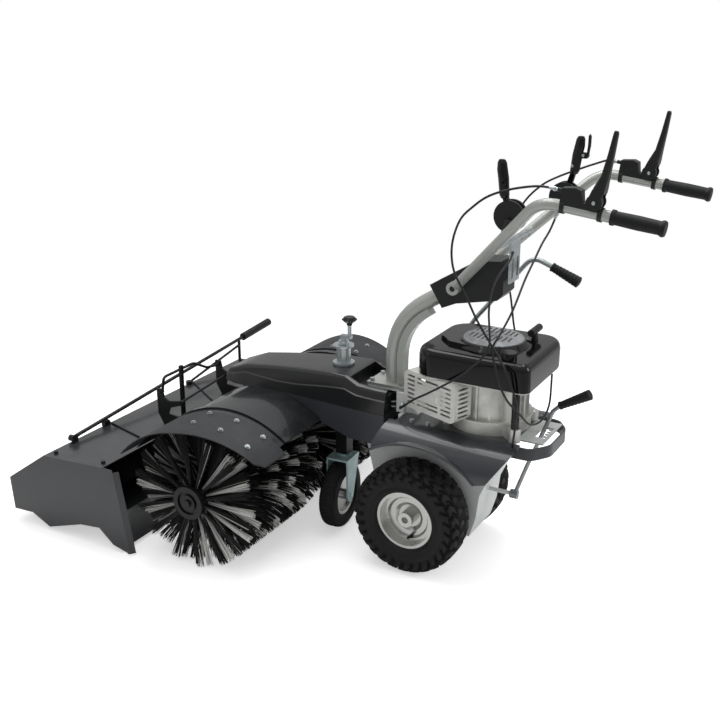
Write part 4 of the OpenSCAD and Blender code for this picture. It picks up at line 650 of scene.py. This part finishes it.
def tube_grid(line, radius, sides):
    """Rings of points round a line: at each point two directions square to it carry a circle. The
    directions come from one fixed direction that the line never follows. The ends close to a point."""
    ahead = np.gradient(line, axis=0)
    ahead /= np.linalg.norm(ahead, axis=1, keepdims=True)
    choices = np.array([[1, 0, 0], [0, 1, 0], [0, 0, 1], [1, 1, 0.3], [1, -1, 0.3], [0.3, 1, 1]], float)
    choices /= np.linalg.norm(choices, axis=1, keepdims=True)
    fixed = choices[np.argmin(np.abs(choices @ ahead.T).max(axis=1))]
    first = crossways(ahead, fixed)
    second = crossways(ahead, first)
    turn = np.linspace(0, 2 * np.pi, sides, endpoint=False)[None, :, None]
    thick = np.broadcast_to(np.asarray(radius, float), len(line)).copy()[:, None, None]
    rings = line[:, None] + thick * (first[:, None] * np.cos(turn) + second[:, None] * np.sin(turn))
    ends = [np.repeat(line[i][None, None], sides, axis=1) for i in (0, -1)]
    return np.concatenate([ends[0], rings, ends[1]])


def tube(name, line, radius, sides, material, body):
    """A tube piece along a line in mm, closed at both ends."""
    grid = tube_grid(np.asarray(line, float), radius, sides)
    quads = grid_quads(len(grid), sides, False, True)
    return mesh_of(name, placed(grid.reshape(-1, 3)), quads, material, body)


SLEEVE_RADIUS = 2.9
cable_sleeve, _ = finish("cable_sleeve", "#141415", 0.4, specular=0.4, dusty=0.03)
for name, points in CABLE_ROUTES.items():
    sleeve = tube(name + "_sleeve", flowing(points), SLEEVE_RADIUS, 12, cable_sleeve, None)
    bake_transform(sleeve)
    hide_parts(name)

# %% [markdown]
# ## Sleeves, beads and stems
# Some small things are one with their solid or too slight for it: the rubber sleeves pulled over the
# two lever ends, the rolled bead along the edge of each wheel arch, the tyre valves, and two thin
# near-black tubes along the collector's top. All of them are round, so all are tubes with a radius that
# may change along the way.

# %% Sleeves, beads and stems
def straight(start, end, steps):
    """Evenly spaced points from start to end."""
    t = np.linspace(0.0, 1.0, steps)[:, None]
    return np.asarray(start, float) * (1 - t) + np.asarray(end, float) * t


def sleeve_radius(low, high, steps, ribs):
    """Radius along a sleeve: widening evenly, with a rolled rim at the start, fine ribs, a round end."""
    t = np.linspace(0.0, 1.0, steps)
    r = low + (high - low) * t + 0.35 * np.sin(2 * np.pi * ribs * t) * (t > 0.08) * (t < 0.9)
    return (r + 1.2 * (t < 0.05)) * np.sqrt(np.clip((1.0 - t) / 0.045, 0.0, 1.0))


def dressed(name, line, radius, material, body, sides=20):
    """A tube piece that is listed in a material slot."""
    made = tube(name, line, radius, sides, material, body)
    return made


GRIP_STEPS, GRIP_RIBS = 90, 9
ARCH_X, ARCH_Z, ARCH_RADIUS, ARCH_OUT, ARCH_STEPS = 30, 150, 257, 211.5, 60
VALVE_FOOT, VALVE_END = np.array([10, 165, 106]), np.array([10, 192, 111])
VALVE_RADII = np.array([5.5, 5.5, 5.0, 4.4, 4.2, 4.2, 4.2, 3.6])
# Ends of two thin near-black tubes lying along the collector's top.
DARK_TUBES = {"near": ([-1062, -217, 256.5], [-886, -280, 267]),
              "far": ([-1058, 211, 256.5], [-868, 76, 268])}
for name, foot, tip, low, high, body in (
        ("gear_grip_sleeve", [367, 0, 518], [451, 0, 567.4], 10.2, 14.9, "gear_stick"),
        ("angle_grip_sleeve", [265, 166, 855], [348, 166, 818.2], 11.7, 16.4, "angle_stick")):
    dressed(name, straight(foot, tip, GRIP_STEPS), sleeve_radius(low, high, GRIP_STEPS, GRIP_RIBS),
            grip_rubber, body, 28)
arch_turn = np.radians(np.linspace(121.0, 45.0, ARCH_STEPS))
for side, name in ((NEAR, "left"), (FAR, "right")):
    arch = np.stack([ARCH_X + ARCH_RADIUS * np.cos(arch_turn), np.full(ARCH_STEPS, side * ARCH_OUT),
                     ARCH_Z + ARCH_RADIUS * np.sin(arch_turn)], -1)
    dressed(name + "_arch_bead", arch, 4.0, hood_paint, "drive_unit", 12)
    mirror = np.array([1, side, 1])
    dressed(name + "_tyre_valve", straight(VALVE_FOOT * mirror, VALVE_END * mirror, len(VALVE_RADII)),
            VALVE_RADII, grip_rubber, name + "_wheel", 14)
for which, (foot, tip) in DARK_TUBES.items():
    dressed("collector_" + which + "_dark_tube", straight(foot, tip, 12), 3.0, rod_paint, "collector",
            10)

# %% [markdown]
# ## Bright pins and cable ends
# Small zinc parts catch the light all over the handlebar: the ends of the clutch levers' pins, the
# screws in the right-hand lever and arm, and the threaded adjusters that the cables come out of. A pin
# is a short tube that ends in a low dome.

# %% Pins and adjusters
def pin(name, place, along, radius, high, body):
    """A domed pin head: a tube from the place along a direction, drawn in at its end."""
    along = np.asarray(along, float) / np.linalg.norm(along)
    up, in_from_rim = np.array([0.0, 0.6, 0.85, 1.0]), np.array([1.0, 1.0, 0.8, 0.45])
    line = np.asarray(place, float) + along * high * up[:, None]
    return dressed(name, line, radius * in_from_rim, zinc_plate, body, 18)


def adjuster(name, route, radius, length, body):
    """A cable end: a sleeve along the first stretch of the route, wider near its middle for the nut and
    narrower at its end."""
    start = np.asarray(route[0], float)
    ahead = np.asarray(route[1], float) - start
    t = np.linspace(0.0, 1.0, 24)
    line = straight(start, start + ahead / np.linalg.norm(ahead) * length, len(t))
    radii = radius + 1.6 * (np.abs(t - 0.4) < 0.16) - 0.8 * (t > 0.85)
    return dressed(name, line, radii, zinc_plate, body, 12)


CLUTCH_X, CLUTCH_OUT, CLUTCH_Z, PIN_OUT = 493.37, 240.0, 1123.92, 18.9
LEVER_SCREWS = [312.4, 135.4, 1140.7], [338.8, 138.5, 1169.6]
ARM_SCREW, ARM_SCREW_FACES = [208.8, 132.0, 945.6], [0.76, -0.41, -0.5]
NUT_RADIUS = 4.2
across = np.array([0.0, 1.0, 0.0])
for side, name in ((NEAR, "left"), (FAR, "right")):
    pivot = np.array([CLUTCH_X, side * CLUTCH_OUT, CLUTCH_Z])
    for way, which in ((-1, "near"), (1, "far")):
        pin(name + "_clutch_pin_" + which, pivot + across * way * PIN_OUT, across * way, 4.4, 2.0,
            "handlebar")
    adjuster(name + "_clutch_adjuster", CABLE_ROUTES[name + "_clutch_cable"], NUT_RADIUS, 22.0, "handlebar")
for number, place in enumerate(LEVER_SCREWS):
    pin("right_lever_screw_%d" % (number + 1), place, -across, 4.0, 2.0, "right_control")
pin("right_arm_screw", ARM_SCREW, ARM_SCREW_FACES, 5.0, 2.4, "handlebar")
adjuster("throttle_adjuster", CABLE_ROUTES["throttle_cable"], NUT_RADIUS, 26.0, "handlebar")
adjuster("brush_adjuster", CABLE_ROUTES["brush_cable"][::-1], NUT_RADIUS, 22.0, "drive_unit")

# %% [markdown]
# ## Studio
# A white floor under a pale sky, with one large soft lamp above and weaker ones at the side and behind,
# as in a product studio. The sky is brighter overhead than at the horizon, so that gloss shows, and the
# far floor is greyer in reflections; the camera sees both as plain white. The lamps are only as strong
# as makes a colour look the way it is written.

# %% Floor, sky and lamps
FLOOR_HALF, FLOOR_SUNK = 14.0, 0.0005
FADE_FROM, FADE_TO = 1.1, 2.4
WHITE = (1, 1, 1, 1)
floor_points = np.array([[-1, -1, 0], [1, -1, 0], [1, 1, 0], [-1, 1, 0]]) * FLOOR_HALF
floor_white = bpy.data.materials.new("floor_white")
floor_white.use_nodes = True
floor_tree = floor_white.node_tree
floor_shader = floor_tree.nodes["Principled BSDF"]
place = put(floor_tree, "ShaderNodeTexCoord").outputs["Object"]
far_off = put(floor_tree, "ShaderNodeVectorMath", {0: place}, operation="LENGTH").outputs["Value"]
paper = mixed(floor_tree, ranged(floor_tree, far_off, 1.0, 4.0), ink("#f6f6f6"), ink("#ffffff"))
floor_tree.links.new(paper, floor_shader.inputs["Base Color"])
floor_shader.inputs["Roughness"].default_value = 0.9
floor_shader.inputs["Specular IOR Level"].default_value = 0.0
watched = put(floor_tree, "ShaderNodeLightPath").outputs["Is Camera Ray"]
lift = put(floor_tree, "ShaderNodeEmission",
           {"Color": WHITE, "Strength": ranged(floor_tree, watched, 0, 1, 0, 0.5)})
bleached = put(floor_tree, "ShaderNodeAddShader", {0: floor_shader.outputs[0], 1: lift.outputs[0]})
glow = put(floor_tree, "ShaderNodeEmission",
           {"Color": WHITE, "Strength": ranged(floor_tree, watched, 0, 1, 0.55, 1.0)})
fade = put(floor_tree, "ShaderNodeMixShader", {0: ranged(floor_tree, far_off, FADE_FROM, FADE_TO),
                                               1: bleached.outputs[0], 2: glow.outputs[0]})
floor_tree.links.new(fade.outputs[0], floor_tree.nodes["Material Output"].inputs["Surface"])
floor = mesh_of("studio_floor", floor_points, np.array([[0, 1, 2, 3]]), floor_white, None, smooth=False)
floor.location.z = -FLOOR_SUNK
floor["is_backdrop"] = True

sky = bpy.data.worlds.new("studio_sky")
bpy.context.scene.world = sky
sky.use_nodes = True
sky_tree = sky.node_tree
seen = put(sky_tree, "ShaderNodeLightPath")
bright = maths(sky_tree, "ADD", seen.outputs["Is Camera Ray"], seen.outputs["Is Transmission Ray"])
direction = put(sky_tree, "ShaderNodeTexCoord").outputs["Generated"]
upward = put(sky_tree, "ShaderNodeSeparateXYZ", {"Vector": direction})
overhead = ranged(sky_tree, upward.outputs["Z"], 0.05, 0.85, 0.36, 0.75)
sky_level = put(sky_tree, "ShaderNodeMix", {0: bright, 2: overhead, 3: 1.0}).outputs[0]
backdrop = sky_tree.nodes["Background"]
backdrop.inputs["Color"].default_value = WHITE
sky_tree.links.new(sky_level, backdrop.inputs["Strength"])


def lamp(name, place, aim, width, power):
    """A square soft lamp at a place, turned towards aim."""
    light = bpy.data.lights.new(name, "AREA")
    light.shape, light.size, light.energy = "SQUARE", width, power
    made = bpy.data.objects.new(name, light)
    made.location = place
    spot = np.asarray(aim, float) - np.asarray(place, float)
    tilt = math.acos(-spot[2] / np.linalg.norm(spot))
    made.rotation_euler = (tilt, 0.0, math.atan2(spot[1], spot[0]) - math.pi / 2)
    bpy.context.scene.collection.objects.link(made)


lamp("top_softbox", (-0.3, 0.4, 3.2), (0.0, 0.0, 0.4), 2.4, 60.0)
lamp("side_softbox", (-2.6, -2.4, 1.8), (0.0, 0.0, 0.4), 1.6, 3.0)
lamp("rear_softbox", (3.0, 0.4, 1.6), (0.3, 0.0, 0.5), 1.2, 22.0)
bpy.context.scene.view_settings.view_transform = "Standard"

# %% Print the dressed size
low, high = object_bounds()
print("dressed size", [round(c, 3) for c in high - low])
